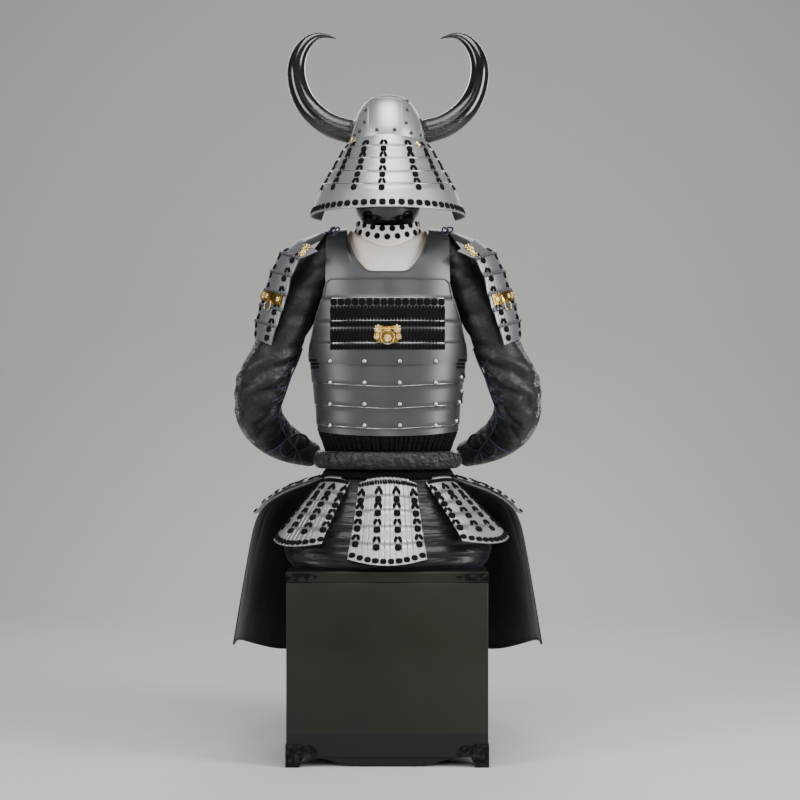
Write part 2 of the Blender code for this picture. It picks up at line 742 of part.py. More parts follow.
def waist():
    """The strands that hang from the cuirass, and the brocade roll round them."""
    turns = [360 * j / 28 for j in range(28)]
    rows = []
    for ring, lift in zip(LACING, (WAIST_RISE, WAIST_RISE / 2, 0, 0, 0, 0)):
        row = []
        for turn in turns:
            x, y = oval_point(turn, ring.half_width, ring.back, ring.front, TORSO_POWER)
            row.append(Vector((x, y, ring.z + lift * math.sin(math.radians(turn)) ** 2)))
        rows.append(row)
    sheet("waist_lacing", rows, CLOTH, "lacing", wraps=True)
    rows = []
    for k in range(8):
        angle = math.pi / 2 - 2 * math.pi * k / 8
        row = []
        for j, turn in enumerate(turns):
            crease = 1 + 0.07 * math.sin(2.3 * j) if math.cos(angle) > 0.1 else 1.0
            out = ROLL_THICK * (1 + math.cos(angle) * crease) + 0.0007
            x, y = oval_point(turn, 0.147 + out, 0.101 + out, 0.111 + out, TORSO_POWER)
            row.append(Vector((x, y, ROLL_LEVEL + ROLL_TALL * math.sin(angle))))
        rows.append(row)
    shape = loft(rows + [rows[0]], wraps=True)
    bmesh.ops.remove_doubles(shape, verts=shape.verts, dist=1e-6)
    add_object("waist_roll", finish_mesh(shape, "waist_roll"), "brocade")


def waist_turn(arc):
    """Turn on the waist ring at a distance along it from the middle of the back."""
    sizes = WAIST_RING[1:]
    last = oval_point(0, *sizes, TORSO_POWER)
    walked = 0.0
    for turn in range(1, 181):
        here = oval_point(turn, *sizes, TORSO_POWER)
        step = math.dist(last, here)
        if walked + step >= abs(arc):
            return math.copysign(turn - 1 + (abs(arc) - walked) / step, arc)
        walked += step
        last = here
    return math.copysign(180, arc)


def tasset_rows(spec):
    """Rows of one skirt panel of five lames that flares out from the waist ring."""
    heading = math.radians(spec.heading)
    away = Vector((math.sin(heading), -math.cos(heading), 0))
    across = Vector((math.cos(heading), math.sin(heading), 0))
    down = Vector((0, 0, -1))
    steps = 40
    walked = [Vector()]
    flares = []
    for i in range(steps + 1):
        share = i / steps
        flare = math.radians(spec.flare_top + (spec.flare_hem - spec.flare_top) * share**2)
        flares.append(flare)
        step = (away * math.sin(flare) + down * math.cos(flare)) * (TASSET_LENGTH / steps)
        walked.append(walked[-1] + step)
    levels = []
    for i, (top, hem) in enumerate(zip(TASSET_LAMES, TASSET_LAMES[1:])):
        last = i == len(TASSET_LAMES) - 2
        levels.append((top + (0.004 if i else 0), LAME_STEP / 2 if i else 0.0))
        levels.append((hem - (0 if last else 0.004), 0.0 if last else -LAME_STEP / 2))
    rows = []
    for share, out in levels:
        place = share * steps
        index = min(int(place), steps - 1)
        run = walked[index].lerp(walked[index + 1], place - index)
        normal = away * math.cos(flares[index]) - down * math.sin(flares[index])
        spread = (spec.hem_half - spec.top_half) * share
        hang = away * math.sin(flares[0]) + down * math.cos(flares[0])
        bow = TASSET_BOW * math.cos(flares[0])
        hem_curve = TASSET_ARCH + TASSET_HEM_CURVE if abs(spec.heading) < 90 else 0.0
        row = []
        for j in range(7):
            u = j / 3 - 1
            turn = waist_turn(spec.arc + u * spec.top_half)
            sizes = [size + STEEL * math.cos(flares[0]) + 2 * GAP for size in WAIST_RING[1:]]
            x, y = oval_point(turn, *sizes, TORSO_POWER)
            arch = TASSET_ARCH - hem_curve * share**1.5
            top = Vector((x, y, TASSET_TOP)) + hang * (arch * u * u)
            row.append(top + run + across * (u * spread) + normal * (out - bow * u * u))
        rows.append(row)
    return rows


def skirt():
    """The seven tassets."""
    for spec in TASSETS:
        sheet(spec.name, tasset_rows(spec), STEEL, "steel")


def seat_and_thighs():
    """The satin seat cloth on the lid, and the two thigh guards in front of it."""
    rows = []
    for ring in SEAT:
        row = []
        for j in range(28):
            turn = 360 * j / 28
            sizes = (ring.half_width, ring.back, ring.front)
            x, y = oval_point(turn, *sizes, SEAT_POWER)
            row.append(Vector((x, y, ring.z)))
        rows.append(row)
    sheet("seat_cloth", rows, CLOTH, "satin", wraps=True)
    first, last = THIGH_TURNS
    rows = []
    for ring in THIGH:
        row = []
        for j in range(11):
            turn = first + (last - first) * j / 10
            sizes = (ring.half_width, ring.back, ring.front)
            x, y = oval_point(turn, *sizes, THIGH_POWER)
            hang = max(0.0, (THIGH[4].z - ring.z) / (THIGH[4].z - THIGH[-1].z))
            drop = THIGH_HEM_DROP * hang * min(1.0, max(0.0, (turn - 88) / 50))
            row.append(Vector((x, y, ring.z - drop)))
        rows.append(row)
    sheet("thigh_guard_right", rows, CLOTH, "thigh_cloth")
    sheet("thigh_guard_left", mirrored(rows), CLOTH, "thigh_cloth")


def bowl_x(y, z):
    """Half width of the helmet bowl at y and z."""
    width = along(BOWL, "half_width", z)
    return width * math.sqrt(max(0.0, 1 - (y / (width * BOWL_DEPTH)) ** 2))


def helmet():
    """Bowl, front brim, neck guard and horns."""
    rows = []
    for ring in BOWL:
        depth = ring.half_width * BOWL_DEPTH
        row = []
        for j in range(24):
            x, y = oval_point(15 * j, ring.half_width, depth, depth, BOWL_POWER)
            row.append(Vector((x, y, ring.z)))
        rows.append(row)
    sheet("helmet_bowl", rows, STEEL, "steel", wraps=True, crown=(0, 0, BOWL_TOP))
    rows = []
    for share, z in ((0.0, 1.4580), (0.5, 1.4545), (1.0, 1.4490)):
        row = []
        for j in range(17):
            turn = 122 + 116 * j / 16
            reach = BRIM_REACH * share * (0.25 + 0.75 * math.sin(math.pi * j / 16))
            width = along(BOWL, "half_width", 1.4560) + 0.0008
            x, y = oval_point(turn, width + reach, 0, width * BOWL_DEPTH + reach, BOWL_POWER)
            row.append(Vector((x, y, z)))
        rows.append(row)
    sheet("helmet_brim", rows, STEEL, "steel")
    neck_guard()
    rows = horn_rows()
    for name, shape_rows in (("horn_right", rows), ("horn_left", mirrored(rows))):
        shape = loft(shape_rows, wraps=True, close_ends=True)
        base = min((f for f in shape.faces if len(f.verts) > 4), key=lambda f: f.calc_center_median().z)
        middle = bmesh.ops.poke(shape, faces=[base])["verts"][0]
        side = math.copysign(1, middle.co.x)
        middle.co.x = side * (bowl_x(middle.co.y, middle.co.z) + 0.0026)
        add_object(name, finish_mesh(shape, name), "horn")


def neck_guard():
    """Five lames that flare out behind the head, each hung outside the one above it."""
    rows = []
    for i, lame in enumerate(NECK_LAMES):
        first, last = i == 0, i == len(NECK_LAMES) - 1
        for z, rise, out in (
            (lame.top - (0 if first else 0.0005), lame.top_rise, 0.0 if first else LAME_STEP / 2),
            (lame.hem + (0 if last else 0.0005), lame.hem_rise, 0.0 if last else -LAME_STEP / 2),
        ):
            row = []
            for j in range(25):
                turn = GUARD_TURN * (j / 12 - 1)
                lift = rise * math.sin(math.radians(turn)) ** 2
                row.append(ring_point(NECK, 2.0, turn, z, out, lift))
            rows.append(row)
    sheet("neck_guard", rows, STEEL, "steel")


def horn_rows():
    """Rows of the +X horn, whose first row is fitted to the bowl."""
    Step = namedtuple("Step", "x y z across deep")
    last = len(HORN) - 1
    path = [
        Step(h.x, HORN_FORWARD * (i / last) ** 1.2, h.z, h.radius, h.radius)
        for i, h in enumerate(HORN)
    ]
    rows = tube_rows(path, 12)
    centre_z, radius = HORN[0].z, HORN[0].radius
    for j in range(12):
        angle = 2 * math.pi * j / 12
        y = -radius * math.cos(angle)
        z = centre_z + radius * math.sin(angle)
        rows[0][j] = Vector((bowl_x(y, z) + HORN_STAND, y, z))
    return rows


def guard_point(place, angle, out):
    """Point of the +X shoulder guard at a row place and an angle round the arm."""
    index = min(int(place), len(GUARD) - 2)
    share = place - index
    upper, lower = GUARD[index], GUARD[index + 1]
    x, z, edge_x, edge_z = (a + (b - a) * share for a, b in zip(upper, lower))
    turn = math.radians(angle)
    bend = (1 - math.cos(turn)) / (1 - math.cos(math.radians(GUARD_HALF_ANGLE)))
    point = Vector((x - (x - edge_x) * bend, ARM_Y + GUARD_RADIUS * math.sin(turn), z - (z - edge_z) * bend))
    run, fall = lower.x - upper.x, upper.z - lower.z
    normal = Vector((math.cos(turn) * fall, math.sin(turn) * fall, run)).normalized()
    return point + normal * out


def guard_face(place, angle, out):
    """Point over the shoulder guard's flat faces, between two of its columns."""
    spacing = GUARD_ANGLES[1] - GUARD_ANGLES[0]
    index = min(int((angle - GUARD_ANGLES[0]) / spacing), len(GUARD_ANGLES) - 2)
    share = (angle - GUARD_ANGLES[index]) / spacing
    first = guard_point(place, GUARD_ANGLES[index], out)
    return first.lerp(guard_point(place, GUARD_ANGLES[index + 1], out), share)


def shoulder_guards():
    """Two shoulder guards of six lames, their leather wings and their gold bands."""
    last = len(GUARD) - 1
    rows = []
    for i in range(last):
        for place, out in (
            (i + (0.03 if i else 0), LAME_STEP / 2 if i else 0.0),
            (i + 1 - (0.03 if i < last - 1 else 0), -LAME_STEP / 2 if i < last - 1 else 0.0),
        ):
            rows.append([guard_point(place, angle, out) for angle in GUARD_ANGLES])
    sheet("shoulder_guard_right", rows, STEEL, "steel")
    sheet("shoulder_guard_left", mirrored(rows), STEEL, "steel")
    under = -(STEEL + 3 * GAP)
    angles = GUARD_ANGLES[2:-2]
    edge = []
    for angle in angles:
        y = 0.8 * (ARM_Y + GUARD_RADIUS * math.sin(math.radians(angle)))
        edge.append(Vector((STRAP_OUTER + WING_STAND, y, strap_height(y))))
    tucked = [guard_point(0.02, angle, under) for angle in angles]
    hem = [guard_point(0.32, angle, under) for angle in angles]
    crest = [a.lerp(b, 0.5) + Vector((0, 0, 0.002)) for a, b in zip(edge, tucked)]
    rows = [edge, crest, tucked, hem]
    sheet("shoulder_wing_right", rows, PADDED, "leather")
    sheet("shoulder_wing_left", mirrored(rows), PADDED, "leather")


def gold_work():
    """The gold bands on the shoulder guards, the plate on the back, and their rings."""
    stand_out = STEEL + 2 * GAP
    angles = [-BAND_END, *GUARD_ANGLES[1:-1], BAND_END]
    rows = [[guard_face(place, a, out + stand_out) for a in angles] for place, out in BAND_PLACES]
    here = guard_face(RING_PLACE, RING_ANGLE, stand_out)
    across = guard_face(RING_PLACE, RING_ANGLE + 3, stand_out) - here
    down = guard_face(RING_PLACE + 0.05, RING_ANGLE, stand_out) - here
    for side, sign, shape_rows in (("right", 1, rows), ("left", -1, mirrored(rows))):
        flip = Vector((sign, 1, 1))
        frame = ring_frame(here * flip, across * flip * sign, down * flip)
        band = sheet(f"guard_band_{side}", shape_rows, STEEL, "gold")
        add_staple(band, frame)
        hanging_ring(f"guard_ring_{side}", frame, GUARD_RING)
    half = [(0.031, 0.990), (0.028, 1.003), (0.020, 1.010), (0.009, 1.007)]
    low = [(0.009, 0.971), (0.020, 0.968), (0.029, 0.976)]
    outline = half + [(-x, z) for x, z in reversed(half)]
    outline += [(-x, z) for x, z in reversed(low)] + low
    plate = outline_plate("back_ring_plate", outline, BACK_PLATE_THICK, "gold")
    plate_y = skin_y(0.03, 0.99, -0.0006, -1)
    plate.location.y = plate_y
    face = Vector((0, plate_y - BACK_PLATE_THICK, BACK_RING_LEVEL))
    frame = ring_frame(face, Vector((1, 0, 0)), Vector((0, 0, -1)))
    add_staple(plate, frame)
    hanging_ring("back_ring", frame, BACK_RING)


def ring_frame(face, across, down):
    """Frame of a ring's hinge, with X along its axis and Z up, stood off a face."""
    x_axis = across.normalized()
    z_axis = -(down - x_axis * down.dot(x_axis)).normalized()
    y_axis = z_axis.cross(x_axis)
    frame = Matrix((x_axis, y_axis, z_axis)).transposed().to_4x4()
    frame.translation = face - y_axis * STAPLE_STAND
    return frame


def torus_mesh(name, ring_radius, wire_radius, matrix):
    """A torus about its own Z, moved by a matrix."""
    bpy.ops.mesh.primitive_torus_add(
        major_segments=18, minor_segments=6, major_radius=ring_radius, minor_radius=wire_radius
    )
    made = bpy.context.object
    mesh = made.data
    bpy.data.objects.remove(made)
    mesh.name = name
    mesh.transform(matrix)
    mesh.shade_smooth()
    return mesh


def add_staple(plate, frame):
    """Join a staple's loop to a plate, round the ring's wire."""
    turn = Matrix.Rotation(math.pi / 2, 4, "Y")
    mesh = torus_mesh(plate.name + "_staple", STAPLE_RADIUS - 0.0004, STAPLE_WIRE - 0.0001, frame @ turn)
    loop = bpy.data.objects.new(mesh.name, mesh)
    bpy.data.collections[CUTTERS].objects.link(loop)
    loop.hide_render = True
    loop.display_type = "WIRE"
    join = plate.modifiers.new("staple", "BOOLEAN")
    join.operation = "UNION"
    join.object = loop


def hanging_ring(name, frame, radius):
    """A ring that hangs from its origin, on the hinge, in its frame's XZ plane."""
    lay = Matrix.Translation((0, 0, -radius)) @ Matrix.Rotation(math.pi / 2, 4, "X")
    ring = add_object(name, torus_mesh(name, radius, RING_WIRE, lay), "gold")
    ring.matrix_world = frame


def sleeves():
    """Two brocade sleeves, open at the shoulder and at the cuff."""
    rows = tube_rows(SLEEVE, SLEEVE_SIDES, folds=0.02)
    sheet("sleeve_right", rows, CLOTH, "brocade", wraps=True)
    sheet("sleeve_left", mirrored(rows), CLOTH, "brocade", wraps=True)


def main():
    """Build the armour."""
    clear_scene()
    chest()
    stand()
    cuirass()
    collar()
    waist()
    skirt()
    seat_and_thighs()
    helmet()
    shoulder_guards()
    gold_work()
    sleeves()


main()
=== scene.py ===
"""Looks of a samurai armour that sits on its chest, seen from behind.

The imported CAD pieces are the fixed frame. Plates and cloth are shown by smoother copies
of their own CAD node, and rivets, knots, laces and creases are laid on their faces.
Metres, +Z up. The armour's back faces -Y, its right side is +X.
"""

from __future__ import annotations

import json
import logging
import math
from dataclasses import dataclass, replace
from enum import Enum
from typing import Callable, Iterable, Optional, Sequence, Union

import bmesh
import bpy
import numpy as np
from mathutils import Matrix, Vector
from mathutils.bvhtree import BVHTree

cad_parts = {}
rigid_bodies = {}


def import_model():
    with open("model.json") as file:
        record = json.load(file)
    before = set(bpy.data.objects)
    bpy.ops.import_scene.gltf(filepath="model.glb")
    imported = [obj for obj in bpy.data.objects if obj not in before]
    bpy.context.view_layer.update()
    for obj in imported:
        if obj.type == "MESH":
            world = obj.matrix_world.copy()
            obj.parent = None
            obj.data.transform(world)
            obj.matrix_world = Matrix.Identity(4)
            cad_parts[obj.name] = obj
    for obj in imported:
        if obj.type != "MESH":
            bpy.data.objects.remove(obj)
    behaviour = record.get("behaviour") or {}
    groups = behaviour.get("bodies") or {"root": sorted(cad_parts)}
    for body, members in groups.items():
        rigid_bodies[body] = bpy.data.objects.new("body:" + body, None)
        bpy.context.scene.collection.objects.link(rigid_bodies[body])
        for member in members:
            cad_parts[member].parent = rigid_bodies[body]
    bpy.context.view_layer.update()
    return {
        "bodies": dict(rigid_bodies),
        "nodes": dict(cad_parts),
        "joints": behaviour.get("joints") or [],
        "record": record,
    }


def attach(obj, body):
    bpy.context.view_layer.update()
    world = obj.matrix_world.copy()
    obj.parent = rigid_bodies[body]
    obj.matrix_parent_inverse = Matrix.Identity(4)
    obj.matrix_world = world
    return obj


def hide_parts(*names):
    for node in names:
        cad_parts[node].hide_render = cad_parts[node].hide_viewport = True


LOG = logging.getLogger("samurai_armour")

Pair = tuple[float, float]
Triple = tuple[float, float, float]
Value = Union[float, tuple, bpy.types.NodeSocket]

ARMOUR = "armour"
CAMERA_PLACE = Vector((0.029, -4.0, 0.836))
FRAME_WIDTH = 1.92
SENSOR = 36.0
PHOTO_CENTRE = 400
PIXEL = FRAME_WIDTH / 800
PLINTH_TOP = 0.078
SIDE_TONE_STARTS, SIDE_TONE_ENDS = 0.062, 0.100
# Near-black colour of painted shade on the inner faces of hollow pieces.
PAINTED_INNER_SHADE = "#131314"
SIDE_SIGNS = (("left", -1), ("right", 1))


class Look(Enum):
    """Material slots of the record, each with one look."""

    STEEL = "lacquered_steel"
    DARK_STEEL = "dark_steel"
    GILT = "gilt_metal"
    HORN = "black_horn"
    HEAD = "black_lacquer"
    CHEST = "chest_lacquer"
    WOOD = "stand_wood"
    IRON = "chest_iron"
    LEATHER = "pale_leather"
    LACING = "silk_lacing"
    BROCADE = "black_brocade"
    SATIN = "black_satin"
    THIGH = "thigh_cloth"


@dataclass(frozen=True)
class Finish:
    """Plain numbers of a material.

    Attributes:
        colour: Base colour as a hex code.
        roughness: Roughness of the surface.
        metallic: 1 for bare metal, 0 for cloth and wood.
        coat: Weight of a clear lacquer over it.
        sheen: Weight of the soft sheen of cloth.
    """

    colour: str
    roughness: float
    metallic: float = 0.0
    coat: float = 0.0
    sheen: float = 0.0


FINISHES = {
    Look.STEEL: Finish("#b7b9b9", 0.41, 0.85),
    Look.DARK_STEEL: Finish("#5d5e60", 0.42, 0.80),
    Look.GILT: Finish("#f0d48a", 0.22, 1.0),
    Look.HORN: Finish("#0b0b0c", 0.16, 0.0, 0.6),
    Look.HEAD: Finish("#0a0a0a", 0.12, 0.0, 0.8),
    Look.CHEST: Finish("#1b1c13", 0.42, 0.0, 0.15),
    Look.WOOD: Finish("#5b3f26", 0.6),
    Look.IRON: Finish("#201f1e", 0.45, 0.85),
    Look.LEATHER: Finish("#f8f1e9", 0.62, 0.0, 0.0, 0.1),
    Look.LACING: Finish("#050507", 0.85),
    Look.BROCADE: Finish("#0c0c0e", 0.62, 0.0, 0.0, 0.06),
    Look.SATIN: Finish("#0e1014", 0.38, 0.0, 0.0, 0.18),
    Look.THIGH: Finish("#101119", 0.72, 0.0, 0.0, 0.3),
}


def linear(code: str) -> tuple[float, float, float, float]:
    """Linear red, green, blue and alpha of a hex colour, for a node's socket."""
    values = [int(code[i : i + 2], 16) / 255 for i in (1, 3, 5)]
    red, green, blue = (v / 12.92 if v <= 0.04045 else ((v + 0.055) / 1.055) ** 2.4 for v in values)
    return red, green, blue, 1.0


class Graph:
    """A material's node tree with a short way to add nodes."""

    def __init__(self, name: str, finish: Finish) -> None:
        """Make the material with its plain numbers."""
        self.material = bpy.data.materials.new(name)
        self.material.use_nodes = True
        self.tree = self.material.node_tree
        self.shader = self.tree.nodes["Principled BSDF"]
        self.set(self.shader, {
            "Base Color": linear(finish.colour),
            "Roughness": finish.roughness,
            "Metallic": finish.metallic,
            "Coat Weight": finish.coat,
            "Coat Roughness": 0.12,
            "Sheen Weight": finish.sheen,
            "Sheen Roughness": 0.45,
        })
        self.place = self.add("ShaderNodeTexCoord").outputs["Object"]

    @staticmethod
    def set(node: bpy.types.Node, values: dict) -> None:
        """Set constant values, or link sockets, on a node's inputs."""
        for key, value in values.items():
            socket = node.inputs[key]
            if isinstance(value, bpy.types.NodeSocket):
                node.id_data.links.new(value, socket)
            else:
                socket.default_value = value

    def add(self, kind: str, values: Optional[dict] = None, **settings: str) -> bpy.types.Node:
        """Add a node.

        Args:
            kind: Its Blender type.
            values: Its input sockets' values or links.
            **settings: Its own properties.

        Returns:
            The node.
        """
        node = self.tree.nodes.new(kind)
        for key, value in settings.items():
            setattr(node, key, value)
        self.set(node, values or {})
        return node

    def math(self, operation: str, first: Value, second: Value = 0.0, third: Value = 0.0) -> bpy.types.NodeSocket:
        """A math node's result."""
        node = self.add("ShaderNodeMath", {0: first, 1: second, 2: third}, operation=operation)
        return node.outputs[0]

    def mix(self, share: Value, first: Value, second: Value) -> bpy.types.NodeSocket:
        """A colour mixed from two, which is the second where the share is 1."""
        node = self.add("ShaderNodeMix", {"Factor": share, 6: first, 7: second}, data_type="RGBA")
        return node.outputs["Result"]

    def axis(self, name: str) -> bpy.types.NodeSocket:
        """The place along one axis, in metres."""
        return self.add("ShaderNodeSeparateXYZ", {0: self.place}).outputs[name]

    def stored(self, name: str) -> bpy.types.NodeSocket:
        """A number that write_number() stored on the piece's points."""
        return self.add("ShaderNodeAttribute", attribute_name=name).outputs["Fac"]

    def noise(self, scale: float, detail: float = 3.0, stretch: Triple = (1, 1, 1),
              distortion: float = 0.0) -> bpy.types.NodeSocket:
        """Noise in object space, stretched along an axis."""
        mapping = self.add("ShaderNodeMapping", {"Vector": self.place, "Scale": stretch})
        node = self.add("ShaderNodeTexNoise", {
            "Vector": mapping.outputs[0], "Scale": scale, "Detail": detail, "Distortion": distortion,
        })
        return node.outputs["Fac"]

    def ramp(self, value: Value, stops: Sequence[tuple[float, str]]) -> bpy.types.NodeSocket:
        """A colour ramp between hex colours."""
        node = self.add("ShaderNodeValToRGB", {"Fac": value})
        elements = node.color_ramp.elements
        while len(elements) < len(stops):
            elements.new(0.5)
        for element, (place, code) in zip(elements, stops):
            element.position = place
            element.color = linear(code)
        return node.outputs["Color"]

    def span(self, value: Value, low: float, high: float) -> bpy.types.NodeSocket:
        """A value from 0 to 1 mapped between two numbers."""
        node = self.add("ShaderNodeMapRange", {"Value": value, "To Min": low, "To Max": high})
        return node.outputs["Result"]

    def bump(self, height: Value, depth: float, after: Optional[Value] = None) -> bpy.types.NodeSocket:
        """A bump of a real depth in metres, over an earlier one."""
        values = {"Height": height, "Distance": depth, "Strength": 1.0}
        if after is not None:
            values["Normal"] = after
        return self.add("ShaderNodeBump", values).outputs["Normal"]

    def finish(self, **links: Value) -> bpy.types.Material:
        """Link the shader's inputs, named with _ for a space, and hand over the material."""
        self.set(self.shader, {key.replace("_", " "): value for key, value in links.items()})
        return self.material


def metal(look: Look, lane: bool = False, inside: bool = False, colour: str = "") -> bpy.types.Material:
    """Lacquered steel with a fine grain.

    Args:
        look: The slot that it belongs to.
        lane: True for laced lames, whose scales show as upright lanes.
        inside: True for a hollow piece, whose face toward the stand is painted near-black and not metallic, as
            painted shade.
        colour: Another colour than the slot's own; the shoulder guards' lighter one is painted light.

    Returns:
        The material.
    """
    finish = FINISHES[look]
    if colour:
        finish = replace(finish, colour=colour)
    graph = Graph(look.value + ("_scales" if lane else "") + ("_lined" if inside else ""), finish)
    if inside:
        # Painted shade: faces that turn toward the stand's axis get the near-black colour and lose their metal.
        flat = graph.add("ShaderNodeVectorMath", {0: graph.place, 1: (1, 1, 0)}, operation="MULTIPLY")
        way = graph.add("ShaderNodeVectorMath", {
            0: flat.outputs["Vector"], 1: graph.add("ShaderNodeNewGeometry").outputs["Normal"],
        }, operation="DOT_PRODUCT")
        inner = graph.math("LESS_THAN", way.outputs["Value"], 0.0)
        colours = graph.mix(inner, linear(finish.colour), linear(PAINTED_INNER_SHADE))
        bare = graph.math("MULTIPLY", graph.math("SUBTRACT", 1.0, inner), finish.metallic)
        graph.set(graph.shader, {"Base Color": colours, "Metallic": bare})
    grain = graph.noise(900, 2)
    cloud = graph.noise(9, 4)
    height = graph.bump(grain, 0.00008)
    if lane:
        height = graph.bump(scale_height(graph), 0.0011, height)
    roughness = graph.span(cloud, finish.roughness - 0.07, finish.roughness + 0.09)
    return graph.finish(Normal=height, Roughness=roughness)


def scale_height(graph: Graph) -> bpy.types.NodeSocket:
    """Height of the scales that a lame is made of: round lanes with a groove between."""
    share = graph.math("FRACT", graph.stored("lane"))
    middle = graph.math("ABSOLUTE", graph.math("SUBTRACT", share, 0.5))
    tilt = graph.math("MULTIPLY", share, 0.45)
    edge = graph.math("SMOOTH_MIN", graph.math("MULTIPLY", graph.math("SUBTRACT", 0.5, middle), 9.0), 1.0, 0.2)
    return graph.math("ADD", tilt, edge)


def edge_steel_painted_highlight() -> bpy.types.Material:
    """Raised edge of a plate, in steel paler than the plates: the paleness is a painted highlight."""
    return Graph("edge steel with painted highlight", Finish("#c9cbcc", 0.22, 1.0)).material


def mail_steel() -> bpy.types.Material:
    """Bright iron mail."""
    return Graph("iron mail", Finish("#9fa2a4", 0.26, 1.0)).material


def navy_lace() -> bpy.types.Material:
    """Blue-black silk cord."""
    graph = Graph("navy silk cord", Finish("#1b2340", 0.6, 0.0, 0.0, 0.3))
    return graph.finish(Normal=graph.bump(graph.noise(700, 2, (1, 1, 0.4)), 0.0004))


def gilt(tones: tuple[str, str] = ("#d9b665", "#f7e4aa")) -> bpy.types.Material:
    """Gold with soft hammering, from a darker tone to a lighter one."""
    graph = Graph(Look.GILT.value, FINISHES[Look.GILT])
    beaten = graph.bump(graph.noise(220, 3), 0.0006)
    colour = graph.ramp(graph.noise(60, 4), [(0.3, tones[0]), (0.6, tones[1])])
    return graph.finish(Normal=beaten, Base_Color=colour)


def horn() -> bpy.types.Material:
    """Black horn: rough rings at the base, polished beyond."""
    graph = Graph(Look.HORN.value, FINISHES[Look.HORN])
    worn = graph.stored("worn")
    grain = graph.noise(70, 6, (1, 1, 3), 0.6)
    rough = graph.bump(graph.math("MULTIPLY", grain, worn), 0.006)
    fine = graph.bump(graph.noise(400, 2), 0.00006, rough)
    streak = graph.ramp(graph.noise(30, 4), [(0.35, "#070707"), (0.75, "#1c1b1b")])
    return graph.finish(Normal=fine, Base_Color=streak, Roughness=graph.span(worn, 0.15, 0.5))


def black_lacquer() -> bpy.types.Material:
    """Glossy black lacquer."""
    graph = Graph(Look.HEAD.value, FINISHES[Look.HEAD])
    return graph.finish(Normal=graph.bump(graph.noise(35, 2), 0.0002))


def chest_lacquer() -> bpy.types.Material:
    """Old olive-black lacquer over boards, with a trace of cloth grain and wear."""
    graph = Graph(Look.CHEST.value, FINISHES[Look.CHEST])
    cloud = graph.noise(5, 6, (1, 1, 0.6))
    colour = graph.ramp(cloud, [(0.3, "#12130a"), (0.7, "#1c1d10")])
    plinth = graph.math("LESS_THAN", graph.axis("Z"), PLINTH_TOP)
    weave = graph.bump(graph.noise(700, 2, (1, 1, 0.25)), 0.0002)
    roughness = graph.span(graph.noise(14, 5), 0.42, 0.6)
    graph.set(graph.shader, {"Specular IOR Level": 0.35})
    return graph.finish(
        Normal=graph.bump(plinth, 0.0012, weave),
        Base_Color=graph.mix(plinth, colour, linear("#090a09")),
        Roughness=roughness,
    )


def wood() -> bpy.types.Material:
    """Plain softwood of the stand."""
    graph = Graph(Look.WOOD.value, FINISHES[Look.WOOD])
    grain = graph.noise(14, 6, (9, 9, 0.8), 0.8)
    return graph.finish(
        Base_Color=graph.ramp(grain, [(0.3, "#4a321d"), (0.7, "#72502f")]),
        Normal=graph.bump(grain, 0.0004),
    )


def iron() -> bpy.types.Material:
    """Blackened iron with a few worn spots."""
    graph = Graph(Look.IRON.value, FINISHES[Look.IRON])
    spots = graph.noise(90, 5)
    return graph.finish(
        Base_Color=graph.ramp(spots, [(0.45, "#191817"), (0.8, "#4a443d")]),
        Normal=graph.bump(spots, 0.0005),
        Roughness=graph.span(spots, 0.35, 0.6),
    )


def leather() -> bpy.types.Material:
    """Pale leather, darker and browner toward the sides."""
    graph = Graph(Look.LEATHER.value, FINISHES[Look.LEATHER])
    colour = graph.ramp(graph.noise(11, 4), [(0.35, "#f0e4d9"), (0.65, "#fbf6f0")])
    rim = graph.add("ShaderNodeMapRange", {
        "Value": graph.math("ABSOLUTE", graph.axis("X")), "From Min": SIDE_TONE_STARTS, "From Max": SIDE_TONE_ENDS,
    }, interpolation_type="SMOOTHSTEP")
    side_toned = graph.mix(graph.math("MULTIPLY", rim.outputs["Result"], 0.75), colour, linear("#c99e7c"))
    pores = graph.bump(graph.noise(800, 3), 0.00012)
    return graph.finish(Base_Color=side_toned, Normal=graph.bump(graph.noise(22, 4), 0.0012, pores))


def lacing() -> bpy.types.Material:
    """Braided silk lace, nearly black."""
    graph = Graph(Look.LACING.value, FINISHES[Look.LACING])
    braid = graph.add("ShaderNodeTexWave", {
        "Vector": graph.place, "Scale": 260.0, "Distortion": 4.0, "Detail": 1.0,
    }, bands_direction="DIAGONAL")
    colour = graph.ramp(graph.noise(45, 3), [(0.35, "#030304"), (0.7, "#0b0b0f")])
    graph.set(graph.shader, {"Specular IOR Level": 0.22})
    return graph.finish(Base_Color=colour, Normal=graph.bump(braid.outputs["Fac"], 0.0006))


